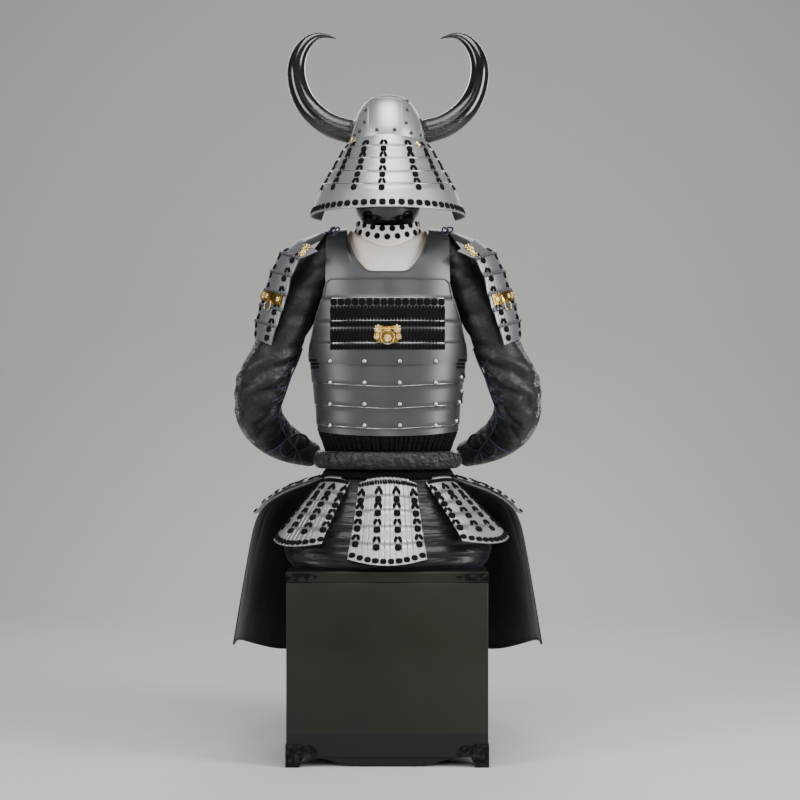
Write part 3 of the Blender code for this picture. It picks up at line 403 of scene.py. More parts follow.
def brocade(rumpled: bool = False) -> bpy.types.Material:
    """Black damask: small scrolling leaves that shine on a matt ground.

    Args:
        rumpled: True for the stuffed roll, whose cloth is puckered and glossier.

    Returns:
        The material.
    """
    graph = Graph(Look.BROCADE.value + ("_rumpled" if rumpled else ""), FINISHES[Look.BROCADE])
    swirl = graph.add("ShaderNodeTexNoise", {"Vector": graph.place, "Scale": 60.0})
    bent = graph.add("ShaderNodeVectorMath", {
        0: swirl.outputs["Color"], 1: (0.016, 0.016, 0.016), 2: graph.place,
    }, operation="MULTIPLY_ADD")
    scroll = graph.add("ShaderNodeTexVoronoi", {
        "Vector": bent.outputs["Vector"], "Scale": 60.0, "Randomness": 0.8,
    }, feature="SMOOTH_F1")
    curl = graph.math("SINE", graph.math("MULTIPLY", scroll.outputs["Distance"], 17.0))
    mask = graph.math("GREATER_THAN", curl, 0.25)
    colour = graph.ramp(mask, [(0.0, "#0b0b0d"), (1.0, "#131316")])
    weave = graph.bump(graph.noise(1100, 2), 0.0003)
    folds = graph.noise(38 if rumpled else 15, 5, (1, 1, 1.7), 0.9)
    puckers = graph.bump(graph.noise(85, 4, (1, 1, 1.4), 0.5), 0.0030 if rumpled else 0.0008, weave)
    low, high = (0.26, 0.44) if rumpled else (0.42, 0.54)
    return graph.finish(
        Base_Color=colour,
        Roughness=graph.span(mask, high, low),
        Normal=graph.bump(mask, 0.0002, graph.bump(folds, 0.007 if rumpled else 0.0035, puckers)),
    )


def satin() -> bpy.types.Material:
    """Black satin with a cool sheen."""
    graph = Graph(Look.SATIN.value, FINISHES[Look.SATIN])
    folds = graph.noise(6, 3, (0.8, 0.8, 6.0), 0.5)
    fine = graph.noise(20, 3, (0.8, 0.8, 4.0), 0.4)
    height = graph.bump(fine, 0.003, graph.bump(folds, 0.010))
    graph.set(graph.shader, {"Sheen Tint": linear("#8fa0b8")})
    return graph.finish(Normal=height, Roughness=graph.span(fine, 0.3, 0.46))


def thigh_cloth() -> bpy.types.Material:
    """Dark plain-woven cloth."""
    graph = Graph(Look.THIGH.value, FINISHES[Look.THIGH])
    colour = graph.ramp(graph.noise(6, 4), [(0.35, "#0c0d13"), (0.7, "#171923")])
    weave = graph.bump(graph.noise(900, 2), 0.0003)
    return graph.finish(Base_Color=colour, Normal=graph.bump(graph.noise(9, 4), 0.006, weave))


LOOKS: dict[str, tuple[Look, Callable[[], bpy.types.Material]]] = {
    "steel": (Look.STEEL, lambda: metal(Look.STEEL)),
    "scales": (Look.STEEL, lambda: metal(Look.STEEL, lane=True)),
    "lined_steel": (Look.STEEL, lambda: metal(Look.STEEL, inside=True)),
    # The guards' dark steel in a lighter colour: painted light, for guards that catch more light than the back.
    "guard_scales": (Look.DARK_STEEL, lambda: metal(Look.DARK_STEEL, lane=True, colour="#85878a")),
    "dark_steel": (Look.DARK_STEEL, lambda: metal(Look.DARK_STEEL)),
    "edge": (Look.STEEL, edge_steel_painted_highlight),
    "mail": (Look.STEEL, mail_steel),
    "navy": (Look.LACING, navy_lace),
    "gilt": (Look.GILT, gilt),
    "gilt_ground": (Look.GILT, lambda: gilt(("#8d6c2e", "#bb984d"))),
    "horn": (Look.HORN, horn),
    "head": (Look.HEAD, black_lacquer),
    "chest": (Look.CHEST, chest_lacquer),
    "wood": (Look.WOOD, wood),
    "iron": (Look.IRON, iron),
    "leather": (Look.LEATHER, leather),
    "lacing": (Look.LACING, lacing),
    "brocade": (Look.BROCADE, brocade),
    "rumpled": (Look.BROCADE, lambda: brocade(rumpled=True)),
    "satin": (Look.SATIN, satin),
    "thigh": (Look.THIGH, thigh_cloth),
}


@dataclass(frozen=True)
class Spot:
    """A place on a face, with its outward normal and the direction up along the face."""

    place: Vector
    normal: Vector
    up: Vector


def spot_at(place: Vector, normal: Vector, up: Vector = Vector((0, 0, 1))) -> Spot:
    """A spot whose up direction is laid along its face."""
    normal = normal.normalized()
    flat = up - normal * up.dot(normal)
    return Spot(place, normal, flat.normalized() if flat.length > 1e-6 else Vector((0, 1, 0)))


class Face:
    """Outer faces of shown pieces, found by rays."""

    def __init__(self, *things: bpy.types.Object) -> None:
        """Take the finished forms of some pieces."""
        graph = bpy.context.evaluated_depsgraph_get()
        self.trees = [BVHTree.FromObject(thing, graph) for thing in things]

    def hit(self, start: Vector, toward: Vector) -> Optional[Spot]:
        """First spot that a ray meets, or None."""
        found = None
        for tree in self.trees:
            place, normal, _, distance = tree.ray_cast(start, toward.normalized())
            if place is not None and (found is None or distance < found[0]):
                found = (distance, place, normal)
        if found is None:
            return None
        _, place, normal = found
        return spot_at(place, normal if normal.dot(toward) < 0 else -normal)

    def round(self, turn: float, z: float, centre: tuple[float, float] = (0.0, 0.0)) -> Optional[Spot]:
        """Spot at a turn about an upright axis, 0 at the back and 90 at +X."""
        out = Vector((math.sin(math.radians(turn)), -math.cos(math.radians(turn)), 0))
        start = Vector((*centre, z)) + out
        return self.hit(start, -out)

    def across(self, x: float, z: float, side: int = -1) -> Optional[Spot]:
        """Spot at x and z seen square on, from the back (side -1) or the front (side 1)."""
        return self.hit(Vector((x, side, z)), Vector((0, -side, 0)))

    def seen(self, across: float, down: float) -> Optional[Spot]:
        """Spot under a point of the photograph."""
        ray = Vector(((across - PHOTO_CENTRE) * PIXEL, 4.0, (PHOTO_CENTRE - down) * PIXEL))
        return self.hit(CAMERA_PLACE, ray)


class Shape(Enum):
    """Small shapes that are laid many times, each one unit across."""

    PILLOW = "pillow"
    DOME = "dome"
    LINK = "link"


def small_shape(kind: Shape) -> tuple[np.ndarray, list[tuple[int, ...]]]:
    """Points and faces of a small shape that stands on z = 0.

    Args:
        kind: Which one.

    Returns:
        Its points as rows, and its faces as point numbers.
    """
    shape = bmesh.new()
    if kind is Shape.PILLOW:
        bmesh.ops.create_cube(shape, size=1)
        bmesh.ops.bevel(shape, geom=shape.edges[:], offset=0.24, segments=1, affect="EDGES", profile=0.5)
    elif kind is Shape.DOME:
        bmesh.ops.create_icosphere(shape, subdivisions=2, radius=0.5)
    else:
        bmesh.ops.create_circle(shape, segments=8, radius=0.5)
        ring = bmesh.ops.extrude_edge_only(shape, edges=shape.edges[:])
        inner = [v for v in ring["geom"] if isinstance(v, bmesh.types.BMVert)]
        bmesh.ops.scale(shape, vec=(0.55, 0.55, 1), verts=inner)
        bmesh.ops.solidify(shape, geom=shape.faces[:], thickness=0.25)
    shape.verts.ensure_lookup_table()
    points = np.array([v.co for v in shape.verts])
    faces = [tuple(v.index for v in f.verts) for f in shape.faces]
    shape.free()
    return points, faces


class Stack:
    """Copies of small shapes that become one piece."""

    shapes: dict[Shape, tuple[np.ndarray, list[tuple[int, ...]]]] = {}

    def __init__(self, name: str, look: str, body: str = ARMOUR) -> None:
        """Start with no copy laid."""
        self.name, self.look, self.body = name, look, body
        self.points: list[np.ndarray] = []
        self.faces: list[tuple[int, ...]] = []
        self.count = 0

    def add(self, spot: Optional[Spot], size: Sequence[float], kind: Shape = Shape.PILLOW,
            lean: float = 0.0, shift: tuple[float, float] = (0.0, 0.0), sink: float = 0.35) -> None:
        """Lay one copy on a spot.

        Args:
            spot: Where, or None where nothing is laid.
            size: Across, along the face and out of it, in metres.
            kind: Which shape.
            lean: Turn on the face in degrees.
            shift: Move across and up the face in metres.
            sink: Share of its height that lies under the face.
        """
        if spot is None:
            return
        if kind not in self.shapes:
            self.shapes[kind] = small_shape(kind)
        points, faces = self.shapes[kind]
        side = spot.up.cross(spot.normal)
        frame = np.array((side, spot.up, spot.normal))
        angle = math.radians(lean)
        turn = np.array(((math.cos(angle), math.sin(angle), 0), (-math.sin(angle), math.cos(angle), 0), (0, 0, 1)))
        local = (points * size) @ turn
        local += (shift[0], shift[1], size[2] * (0.5 - sink))
        self.points.append(local @ frame + np.array(spot.place))
        self.faces.extend(tuple(self.count + i for i in face) for face in faces)
        self.count += len(points)

    def build(self) -> Optional[bpy.types.Object]:
        """Make the piece, or nothing where no copy was laid."""
        if not self.points:
            return None
        mesh = bpy.data.meshes.new(self.name)
        mesh.from_pydata(np.concatenate(self.points).tolist(), [], self.faces)
        mesh.shade_smooth()
        return place(self.name, mesh, self.look, self.body)


MATERIALS: dict[str, bpy.types.Material] = {}
PLACED: list[bpy.types.Object] = []


def linked(name: str, data: bpy.types.ID) -> bpy.types.Object:
    """Make an object and put it in the scene."""
    thing = bpy.data.objects.new(name, data)
    bpy.context.scene.collection.objects.link(thing)
    return thing


def mesh_of(shape: bmesh.types.BMesh, name: str) -> bpy.types.Mesh:
    """A smooth-shaded mesh of a form, which is freed."""
    mesh = bpy.data.meshes.new(name)
    shape.to_mesh(mesh)
    shape.free()
    mesh.shade_smooth()
    return mesh


def place(name: str, mesh: bpy.types.Mesh, look: str, body: str = ARMOUR) -> bpy.types.Object:
    """Make an object of a mesh that is already in place, with its look, riding on a body."""
    if look not in MATERIALS:
        MATERIALS[look] = LOOKS[look][1]()
    mesh.materials.clear()
    mesh.materials.append(MATERIALS[look])
    thing = linked(name.replace(" ", "_"), mesh)
    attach(thing, body)
    PLACED.append(thing)
    return thing


def copy_of(node: bpy.types.Object) -> bmesh.types.BMesh:
    """A node's form with its points joined and its triangles made four-sided again."""
    shape = bmesh.new()
    shape.from_mesh(node.data)
    bmesh.ops.remove_doubles(shape, verts=shape.verts[:], dist=1e-5)
    bmesh.ops.join_triangles(
        shape, faces=shape.faces[:], angle_face_threshold=math.radians(25), angle_shape_threshold=math.radians(60)
    )
    return shape


SPINED = ("back_panel", "back_waist_plates", "back_top_plate")


def smooth_copy(frame: dict, node: str, name: str, look: str, body: str = ARMOUR, levels: int = 2,
                sharp: float = 38.0) -> bpy.types.Object:
    """A smoother piece that stands for a CAD node.

    Args:
        node: The node.
        name: The new piece's name.
        look: Its look.
        body: The body that it rides on.
        levels: Subdivision levels, 0 for a flat-sided piece.
        sharp: Edges that turn more than this many degrees stay crisp.

    Returns:
        The piece.
    """
    shape = copy_of(frame["nodes"][node])
    creases = shape.edges.layers.float.new("crease_edge")
    for edge in shape.edges:
        spine = node in SPINED and all(abs(vertex.co.x) < 1e-4 for vertex in edge.verts)
        if spine or len(edge.link_faces) != 2 or edge.calc_face_angle(0.0) > math.radians(sharp):
            edge[creases] = 1.0
    mesh = mesh_of(shape, name)
    mesh.set_sharp_from_angle(angle=math.radians(sharp))
    thing = place(name, mesh, look, body)
    if levels:
        subdivision = thing.modifiers.new("smoothing", "SUBSURF")
        subdivision.levels = levels
        subdivision.render_levels = levels
        subdivision.boundary_smooth = "PRESERVE_CORNERS"
    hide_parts(node)
    return thing


BEAD_SIDES = 6


def bead(name: str, points: Iterable[Vector], radius: float, look: str, closed: bool = False,
         body: str = ARMOUR) -> bpy.types.Object:
    """A round edge, seam or cord along a row of points.

    Args:
        name: The piece's name.
        points: Its centreline, in place.
        radius: Its radius in metres.
        look: Its look.
        closed: True where the end meets the start.
        body: The body that it rides on.

    Returns:
        The piece.
    """
    rows = list(points)
    shape = bmesh.new()
    rings: list[list[bmesh.types.BMVert]] = []
    side: Optional[Vector] = None
    for i, point in enumerate(rows):
        before = rows[i - 1] if i or closed else rows[0]
        after = rows[(i + 1) % len(rows)] if i < len(rows) - 1 or closed else rows[-1]
        ahead = (after - before).normalized()
        side = ahead.orthogonal().normalized() if side is None else side
        side = (side - ahead * side.dot(ahead)).normalized()
        other = ahead.cross(side)
        rings.append([
            shape.verts.new(point + (side * math.cos(a) + other * math.sin(a)) * radius)
            for a in (2 * math.pi * k / BEAD_SIDES for k in range(BEAD_SIDES))
        ])
    pairs = list(zip(rings, rings[1:])) + ([(rings[-1], rings[0])] if closed else [])
    for upper, lower in pairs:
        for k in range(BEAD_SIDES):
            shape.faces.new((upper[k], upper[k - 1], lower[k - 1], lower[k]))
    if not closed:
        shape.faces.new(rings[0])
        shape.faces.new(list(reversed(rings[-1])))
    bmesh.ops.recalc_face_normals(shape, faces=shape.faces[:])
    return place(name, mesh_of(shape, name), look, body)


def lifted(spots: Iterable[Optional[Spot]], out: float) -> list[Vector]:
    """Points just off a face, for a bead that lies on it."""
    return [spot.place + spot.normal * out for spot in spots if spot is not None]


def write_number(thing: bpy.types.Object, name: str, number: Callable[[Vector], float]) -> None:
    """Store a number on each point of a piece, for its material."""
    layer = thing.data.attributes.new(name, "FLOAT", "POINT")
    layer.data.foreach_set("value", [number(v.co) for v in thing.data.vertices])


def bulge(turn: float) -> float:
    """How far to the side a turn is: 0 at the back and the front, 1 at either side."""
    return math.sin(math.radians(turn)) ** 2


def curve(points: Sequence, parts: int = 6) -> Iterable:
    """A smooth line through points, in any number of dimensions."""
    rows = [2 * points[0] - points[1], *points, 2 * points[-1] - points[-2]]
    for a, b, c, d in zip(rows, rows[1:], rows[2:], rows[3:]):
        for k in range(parts):
            t = k / parts
            yield 0.5 * (2 * b + (c - a) * t + (2 * a - 5 * b + 4 * c - d) * t**2 + (3 * b - a - 3 * c + d) * t**3)
    yield rows[-2]


def through(face: Face, line: Sequence[Pair]) -> list[Spot]:
    """Spots along a smooth line through points of the photograph."""
    spots = [face.seen(*where) for where in curve([np.array(point, float) for point in line])]
    return [spot for spot in spots if spot is not None]


KNOT = (0.0142, 0.0142, 0.0040)
SLANT = (0.0070, 0.0135, 0.0034)
PLATE_FLOWERS = (
    (-0.0215, 1.0010, 0.0105), (0.0215, 1.0010, 0.0105), (0.0, 1.0100, 0.0080), (0.0, 0.9790, 0.0095),
    (-0.0255, 0.9830, 0.0075), (0.0255, 0.9830, 0.0075), (-0.0205, 0.9665, 0.0062), (0.0205, 0.9665, 0.0062),
)


def lay_column_step(stack: Stack, low: Optional[Spot], high: Optional[Spot], scale: float = 1.0) -> None:
    """One step of a lacing column: a knot below a lame's edge and a slanting pair above it.

    Args:
        stack: The lacing that it joins.
        low: Where the knot lies.
        high: Where the middle of the pair lies.
        scale: Size of both.
    """
    stack.add(low, [v * scale for v in KNOT], sink=0.25)
    for side in (-1, 1):
        stack.add(high, [v * scale for v in SLANT], lean=side * 22.0, shift=(side * 0.0047 * scale, 0.0), sink=0.2)


def rosette(stack: Stack, spot: Optional[Spot], radius: float, petals: int = 8) -> None:
    """A plain flower of petals round a boss."""
    if spot is None:
        return
    for k in range(petals):
        angle = 2 * math.pi * k / petals
        shift = (-math.sin(angle) * radius * 0.6, math.cos(angle) * radius * 0.6)
        stack.add(spot, (radius * 0.42, radius * 0.8, radius * 0.3), lean=math.degrees(angle), shift=shift, sink=0.2)
    stack.add(spot, (radius * 0.6, radius * 0.6, radius * 0.45), Shape.DOME, sink=0.3)


# ---- sub-assemblies ---------------------------------------------------------

@dataclass(frozen=True)
class Copy:
    """A CAD node that is shown by a smoother copy.

    Attributes:
        node: The node.
        name: The new piece's name.
        look: Its look.
        levels: Subdivision levels.
        sharp: Edges that turn more than this many degrees stay crisp.
        body: The body that it rides on.
    """

    node: str
    name: str
    look: str
    levels: int = 2
    sharp: float = 38.0
    body: str = ARMOUR


def both(stem: str, name: str, look: str, levels: int = 2, sharp: float = 38.0) -> tuple[Copy, ...]:
    """The same copy for the left and the right node of a pair."""
    return tuple(Copy(f"{stem}_{side}", f"{side} {name}", look, levels, sharp) for side, _ in SIDE_SIGNS)


def ring(node: str) -> Copy:
    """The copy of a gilt ring, which rides on its own body."""
    return Copy(node, node.replace("_", " "), "gilt", sharp=80, body=node)


@dataclass
class Assembly:
    """A sub-assembly, which shows its CAD nodes and then dresses them.

    Attributes:
        shown: The shown pieces of all sub-assemblies, by node name.
        copies: The nodes that this one shows.
    """

    frame: dict
    shown: dict[str, bpy.types.Object]
    copies: tuple[Copy, ...] = ()

    def show(self) -> None:
        """Show the nodes by smoother copies."""
        for one in self.copies:
            self.shown[one.node] = smooth_copy(
                self.frame, one.node, one.name, one.look, body=one.body, levels=one.levels, sharp=one.sharp
            )

    def dress(self) -> None:
        """Lay the small pieces. A plain sub-assembly has none."""

    def face(self, *nodes: str) -> Face:
        """The outer face of some shown nodes."""
        return Face(*(self.shown[node] for node in nodes))


@dataclass
class Stand(Assembly):
    """The wooden stand with its turned head form."""

    copies: tuple[Copy, ...] = (
        Copy("stand_base", "stand base plate", "wood", 0),
        Copy("stand_post", "stand post", "wood", 0),
        Copy("stand_shoulder_board", "stand shoulder board", "wood", 0),
        Copy("head_form", "turned head form", "head"),
    )


@dataclass
class Chest(Assembly):
    """The lacquered chest, the bearer under it and its irons."""

    copies: tuple[Copy, ...] = (
        Copy("chest_body", "lacquered chest", "chest", 0),
        Copy("chest_lid", "chest lid", "chest", 0),
        Copy("base_bearer", "bearer under the chest", "chest", 0),
        *both("iron_back", "rear foot iron", "iron", 0),
        *both("iron_front", "front foot iron", "iron", 0),
        *both("lid_iron_back", "rear lid iron", "iron", 0),
        *both("lid_iron_front", "front lid iron", "iron", 0),
    )
    half_width: float = 0.23
    foot_nails_z: float = 0.034
    lid_nails_z: float = 0.4330
    nails_in: Triple = (0.012, 0.030, 0.048)
    nail: Triple = (0.0050, 0.0050, 0.0034)
    curls: tuple[Triple, ...] = ((0.058, 0.040, 0.0100), (0.066, 0.033, 0.0070), (0.050, 0.044, 0.0070))

    def dress(self) -> None:
        """Lay nails and curled ends on the irons."""
        nails = Stack("iron nails and curls", "iron")
        for one in self.copies:
            if one.look != "iron":
                continue
            face = self.face(one.node)
            y_side = -1 if "back" in one.node else 1
            x_side = -1 if "left" in one.node else 1
            foot = one.node.startswith("iron")
            for inward in self.nails_in:
                spot = face.across(
                    x_side * (self.half_width - inward), self.foot_nails_z if foot else self.lid_nails_z, y_side
                )
                nails.add(spot, self.nail, Shape.DOME, sink=0.3)
            for inward, z, size in self.curls if foot else ():
                spot = face.across(x_side * (self.half_width - inward), z, y_side)
                nails.add(spot, (size, size, 0.0030), Shape.LINK, sink=0.2)
        nails.build()


@dataclass
class Helmet(Assembly):
    """The helmet: bowl, brim, two horns and a neck guard of five laced lames."""

    copies: tuple[Copy, ...] = (
        Copy("helmet_bowl", "helmet bowl", "steel"),
        Copy("helmet_brim", "helmet brim", "steel", 1),
        # Its inner face is painted near-black as shade.
        Copy("neck_guard", "neck guard of five lames", "lined_steel"),
        *both("horn", "horn", "horn"),
    )
    lame_edges: tuple[float, ...] = (1.428, 1.397, 1.363, 1.331)
    lame_rises: tuple[float, ...] = (0.004, 0.012, 0.018, 0.018)
    hem: float = 1.277
    hem_rise: float = -0.002
    half_turn: int = 118
    columns: tuple[float, ...] = (-94, -70.5, -47, -25, -4, 23, 47, 70.5, 94)
    rivets: tuple[Pair, ...] = (
        (366, 99), (407, 101), (366, 110), (407, 110), (365, 122), (406, 123), (360, 131), (411, 133),
        (377, 129.6), (394.6, 129.6), (352, 118), (420, 120), (347, 133), (424, 135),
    )
    rivet: Triple = (0.0094, 0.0094, 0.0080)
    nails: tuple[Pair, ...] = ((352.5, 140.5), (417.5, 144.5))
    plate: tuple[float, ...] = (368, 402, 100, 131)
    rivet_ring_z: float = 1.463
    seam_turns: tuple[int, ...] = (62, 90, 118, 180, 242, 270, 298)
    seam_span: Pair = (1.458, 1.553)
    hem_knot: Triple = (0.0152, 0.0142, 0.0040)
    nail: Triple = (0.0170, 0.0170, 0.0100)

    def show(self) -> None:
        """Show the helmet, with the roughness of its horns."""
        super().show()
        for side, _ in SIDE_SIGNS:
            write_number(self.shown[f"horn_{side}"], "worn", self.wear)

    @staticmethod
    def wear(point: Vector) -> float:
        """How rough a horn is: 1 at its base and 0 where it is polished."""
        return max(0.0, 1.0 - max(0.0, abs(point.x) - 0.10) / 0.085)

    def dress(self) -> None:
        """Lay lacing, rivets, nails and edges."""
        neck, bowl = self.face("neck_guard"), self.face("helmet_bowl")
        self.edges(neck, bowl)
        self.lacing(neck).build()
        self.bowl_rivets(bowl).build()
        nails = Stack("gilt nails of the neck guard", "gilt")
        whole = self.face("neck_guard", "helmet_bowl")
        for x, y in self.nails:
            nails.add(whole.seen(x, y), self.nail, Shape.DOME, sink=0.2)
        nails.build()

    def lacing(self, neck: Face) -> Stack:
        """Nine columns of lacing on the neck guard and the row of knots along its hem."""
        stack = Stack("neck guard lacing", "lacing")
        for turn in self.columns:
            for edge, rise in zip(self.lame_edges, self.lame_rises):
                z = edge + rise * bulge(turn)
                lay_column_step(stack, neck.round(turn, z - 0.0085), neck.round(turn, z + 0.0085))
        for turn in np.linspace(-self.half_turn + 3, self.half_turn - 3, 38):
            z = self.hem + 0.0115 + self.hem_rise * bulge(turn)
            stack.add(neck.round(turn, z), self.hem_knot, sink=0.25)
        return stack

    def bowl_rivets(self, bowl: Face) -> Stack:
        """Rivets of the bowl: those of the photograph, the same in front, and a ring at its foot."""
        stack = Stack("helmet rivets", "head")
        for x, y in self.rivets:
            spot = bowl.seen(x, y)
            stack.add(spot, self.rivet, Shape.DOME, sink=0.4)
            if spot is not None:
                turn = math.degrees(math.atan2(spot.place.x, spot.place.y))
                stack.add(bowl.round(turn, spot.place.z), self.rivet, Shape.DOME, sink=0.4)
        for turn in range(54, 307, 18):
            stack.add(bowl.round(turn, self.rivet_ring_z), self.rivet, Shape.DOME, sink=0.4)
        return stack

    def edges(self, neck: Face, bowl: Face) -> None:
        """Raised edges of the neck guard's lames, in paler steel as a painted highlight, and the lines of the bowl's
        plates.
        """
        turns = np.linspace(-self.half_turn + 1, self.half_turn - 1, 81)
        for k, (z, rise) in enumerate(zip(self.lame_edges, self.lame_rises)):
            spots = [neck.round(t, z + rise * bulge(t)) for t in turns]
            bead(f"neck lame edge {k}", lifted(spots, 0.0002), 0.0009, "edge")
        spots = [neck.round(t, self.hem + 0.0015 + self.hem_rise * bulge(t)) for t in turns]
        bead("neck guard hem", lifted(spots, -0.0004), 0.0022, "steel")
        left, right, top, foot = self.plate
        line = [(left, y) for y in np.linspace(top, foot, 12)]
        line += [(x, foot + 0.5) for x in np.linspace(left, right, 12)]
        line += [(right, y) for y in np.linspace(foot, top, 12)]
        for x in np.linspace(right, left, 12):
            line.append((x, top - 0.5 - 2.0 * math.sin(math.pi * (x - left) / (right - left))))
        rim = lifted((bowl.seen(x, y) for x, y in line), 0.0)
        bead("rear plate of the bowl", rim, 0.0011, "steel", closed=True)
        for k, turn in enumerate(self.seam_turns):
            spots = [bowl.round(turn, z) for z in np.linspace(*self.seam_span, 20)]
            bead(f"bowl seam {k}", lifted(spots, -0.0002), 0.0010, "steel")


@dataclass
class Collar(Assembly):
    """The leather yoke and the standing collar with two rows of black dots."""

    copies: tuple[Copy, ...] = (
        Copy("collar_yoke", "leather yoke", "leather"),
        Copy("standing_collar", "tall leather collar", "leather"),
    )
    rows: tuple[Pair, ...] = ((1.2405, -108.0), (1.2210, -98.3))
    pitch: float = 19.5
    rise: float = 0.018
    dot: Triple = (0.0150, 0.0150, 0.0034)

    def show(self) -> None:
        """Show the two padded pieces."""
        super().show()

    def dress(self) -> None:
        """Lay the dots, one fewer in the lower row."""
        face = self.face("standing_collar")
        dots = Stack("collar dots", "lacing")
        for row, (z, start) in enumerate(self.rows):
            for k in range(12 - row):
                turn = start + self.pitch * k
                dots.add(face.round(turn, z + self.rise * bulge(turn)), self.dot, Shape.DOME, sink=0.4)
        dots.build()


@dataclass(frozen=True)
class Band:
    """A band of lacing across the cuirass.

    Attributes:
        z: Its middle height on the back.
        breast_shift: How much higher it is on the breast.
        tall: Its height.
        pieces: How many laces it has.
        wide: Width of one lace.
    """

    z: float
    breast_shift: float
    tall: float
    pieces: int
    wide: float


@dataclass
class Cuirass(Assembly):
    """The two-part cuirass with its straps and wings, and the gilt ring on its back."""

    copies: tuple[Copy, ...] = (
        Copy("back_panel", "back panel", "dark_steel"),
        Copy("front_panel", "breast panel", "dark_steel"),
        Copy("back_waist_plates", "back waist plates", "dark_steel"),
        Copy("front_waist_plates", "front waist plates", "dark_steel"),
        Copy("back_top_plate", "back top plate", "dark_steel"),
        Copy("front_top_plate", "breast top plate", "dark_steel"),
        Copy("back_ring_plate", "gilt plate on the back", "gilt_ground", 0),
        *both("shoulder_strap", "shoulder strap", "dark_steel"),
        *both("shoulder_wing", "shoulder wing", "dark_steel"),
        ring("back_ring"),
    )
    bands: tuple[Band, ...] = (
        Band(1.0645, -0.0240, 0.0158, 16, 0.0156),
        Band(1.0390, -0.0225, 0.0330, 34, 0.0079),
        Band(1.0130, -0.0165, 0.0140, 34, 0.0079),
        Band(0.9860, -0.0130, 0.0320, 34, 0.0079),
        Band(0.9600, -0.0090, 0.0140, 34, 0.0079),
    )
    band_half: float = 0.134
    side_lace: Triple = (0.0070, 0.0055, 0.0030)
    rivets: tuple[Pair, ...] = (
        *((x, y) for y in (361.2, 382.6, 404.2, 425.5) for x in (330.2, 364.4, 399.8, 435.8)),
        (461, 377), (461, 391), (459, 402), (456, 421), (311, 381), (311, 401), (314, 421),
    )
    rivet: Triple = (0.0112, 0.0112, 0.0096)
    ledges: tuple[Triple, Triple] = ((1.0735, 1.0205, 0.9690), (1.0495, 1.0045, 0.9600))
    waist_ledges: Triple = (0.8680, 0.8170, 0.7690)
    waist_rise: float = 0.010
    panel_tops: Pair = (1.1190, 1.0930)
    panel_side: tuple[Pair, ...] = (
        (0.1490, 1.083), (0.1575, 1.060), (0.1650, 1.040), (0.1725, 1.012), (0.1785, 0.987), (0.1835, 0.962),
    )
    panel_corner: float = 0.020
    neckline: float = 1.1366
    side_tie: tuple[Pair, ...] = ((463, 372), (465, 388), (463, 404), (465, 420), (464, 437))
    side_tail: tuple[Pair, ...] = ((463, 388), (461, 398), (462, 408))
    toggles: tuple[Triple, ...] = ((0.128, -0.052, 0.016), (0.140, -0.040, 0.013), (0.120, -0.064, 0.014))
    cord: float = 0.0022

    def dress(self) -> None:
        """Lay lacing, rivets, edges and ties."""
        face = self.face(*(one.node for one in self.copies[:6]))
        self.edges(face)
        self.ties(face)
        self.lacing(face).build()
        self.plate_rivets(face).build()

    def lacing(self, face: Face) -> Stack:
        """Bands of close lacing across the back and the breast, and the short rows at the sides."""
        stack = Stack("cuirass lacing", "lacing")
        for side in (-1, 1):
            for band in self.bands:
                z = band.z + (band.breast_shift if side > 0 else 0.0)
                for k in range(band.pieces):
                    x = self.band_half * (2 * (k + 0.5) / band.pieces - 1)
                    stack.add(face.across(x, z, side), (band.wide, band.tall, 0.0042), sink=0.3)
            for group in (-1, 1):
                for k in range(3):
                    for row in range(5):
                        turn = group * (66 + 2.6 * row) + (180 if side > 0 else 0)
                        stack.add(face.round(turn, 0.930 - 0.0085 * k), self.side_lace, sink=0.3)
        return stack

    def plate_rivets(self, face: Face) -> Stack:
        """Domed rivets in rows on the waist plates, back and front."""
        # The rivets take the same paler edge steel, a painted highlight.
        stack = Stack("cuirass rivets", "edge")
        for x, y in self.rivets:
            spot = face.seen(x, y)
            stack.add(spot, self.rivet, Shape.DOME, sink=0.42)
            if spot is not None:
                stack.add(face.across(spot.place.x, spot.place.z, 1), self.rivet, Shape.DOME, sink=0.42)
        return stack

    def panel_rim(self, top: float) -> list[Pair]:
        """X and z of a panel's rim, from the middle of its top edge to the foot of the armhole."""
        rim = []
        for x in np.linspace(0.001, 0.1450, 40):
            bend = min(1.0, max(0.0, (x - 0.1285) / 0.0175))
            rim.append((x, top - self.panel_corner * (1 - math.sqrt(1 - bend**2))))
        return rim + [(x, z) for x, z in self.panel_side if z < rim[-1][1] - 0.01]

    def neckline_rim(self) -> list[Pair]:
        """X and z of the rolled edge of the back's wide neckline."""
        rim = []
        for x in np.linspace(-0.096, 0.096, 81):
            rise = max(0.0, (abs(x) - 0.035) / 0.063) ** 2.4
            rim.append((x, self.neckline - 0.0016 + 0.0984 * rise))
        return rim

    def edges(self, face: Face) -> None:
        """Raised edges of the plates where one laps another, in paler steel as a painted highlight, and the rolled
        rims.
        """
        for side, name, middle in ((-1, "back", 0), (1, "breast", 180)):
            which = (side + 1) // 2
            for k, z in enumerate(self.ledges[which]):
                spots = [face.across(x, z, side) for x in np.linspace(-0.136, 0.136, 41)]
                bead(f"{name} lame edge {k}", lifted(spots, 0.0004), 0.0009, "edge")
            half = self.panel_rim(self.panel_tops[which])
            rim = [face.across(x, z, side) for x, z in [(-x, z) for x, z in reversed(half)] + half]
            bead(f"{name} panel rim", lifted(rim, 0.0006), 0.0021, "dark_steel")
            if side < 0:
                rim = [face.across(x, z) for x, z in self.neckline_rim()]
                bead("neckline rim", lifted(rim, 0.0003), 0.0017, "dark_steel")
            for k, z in enumerate(self.waist_ledges):
                turns = np.linspace(middle - 86, middle + 86, 61)
                spots = [face.round(t, z + self.waist_rise * bulge(t)) for t in turns]
                bead(f"{name} waist edge {k}", lifted(spots, 0.0003), 0.0008, "edge")

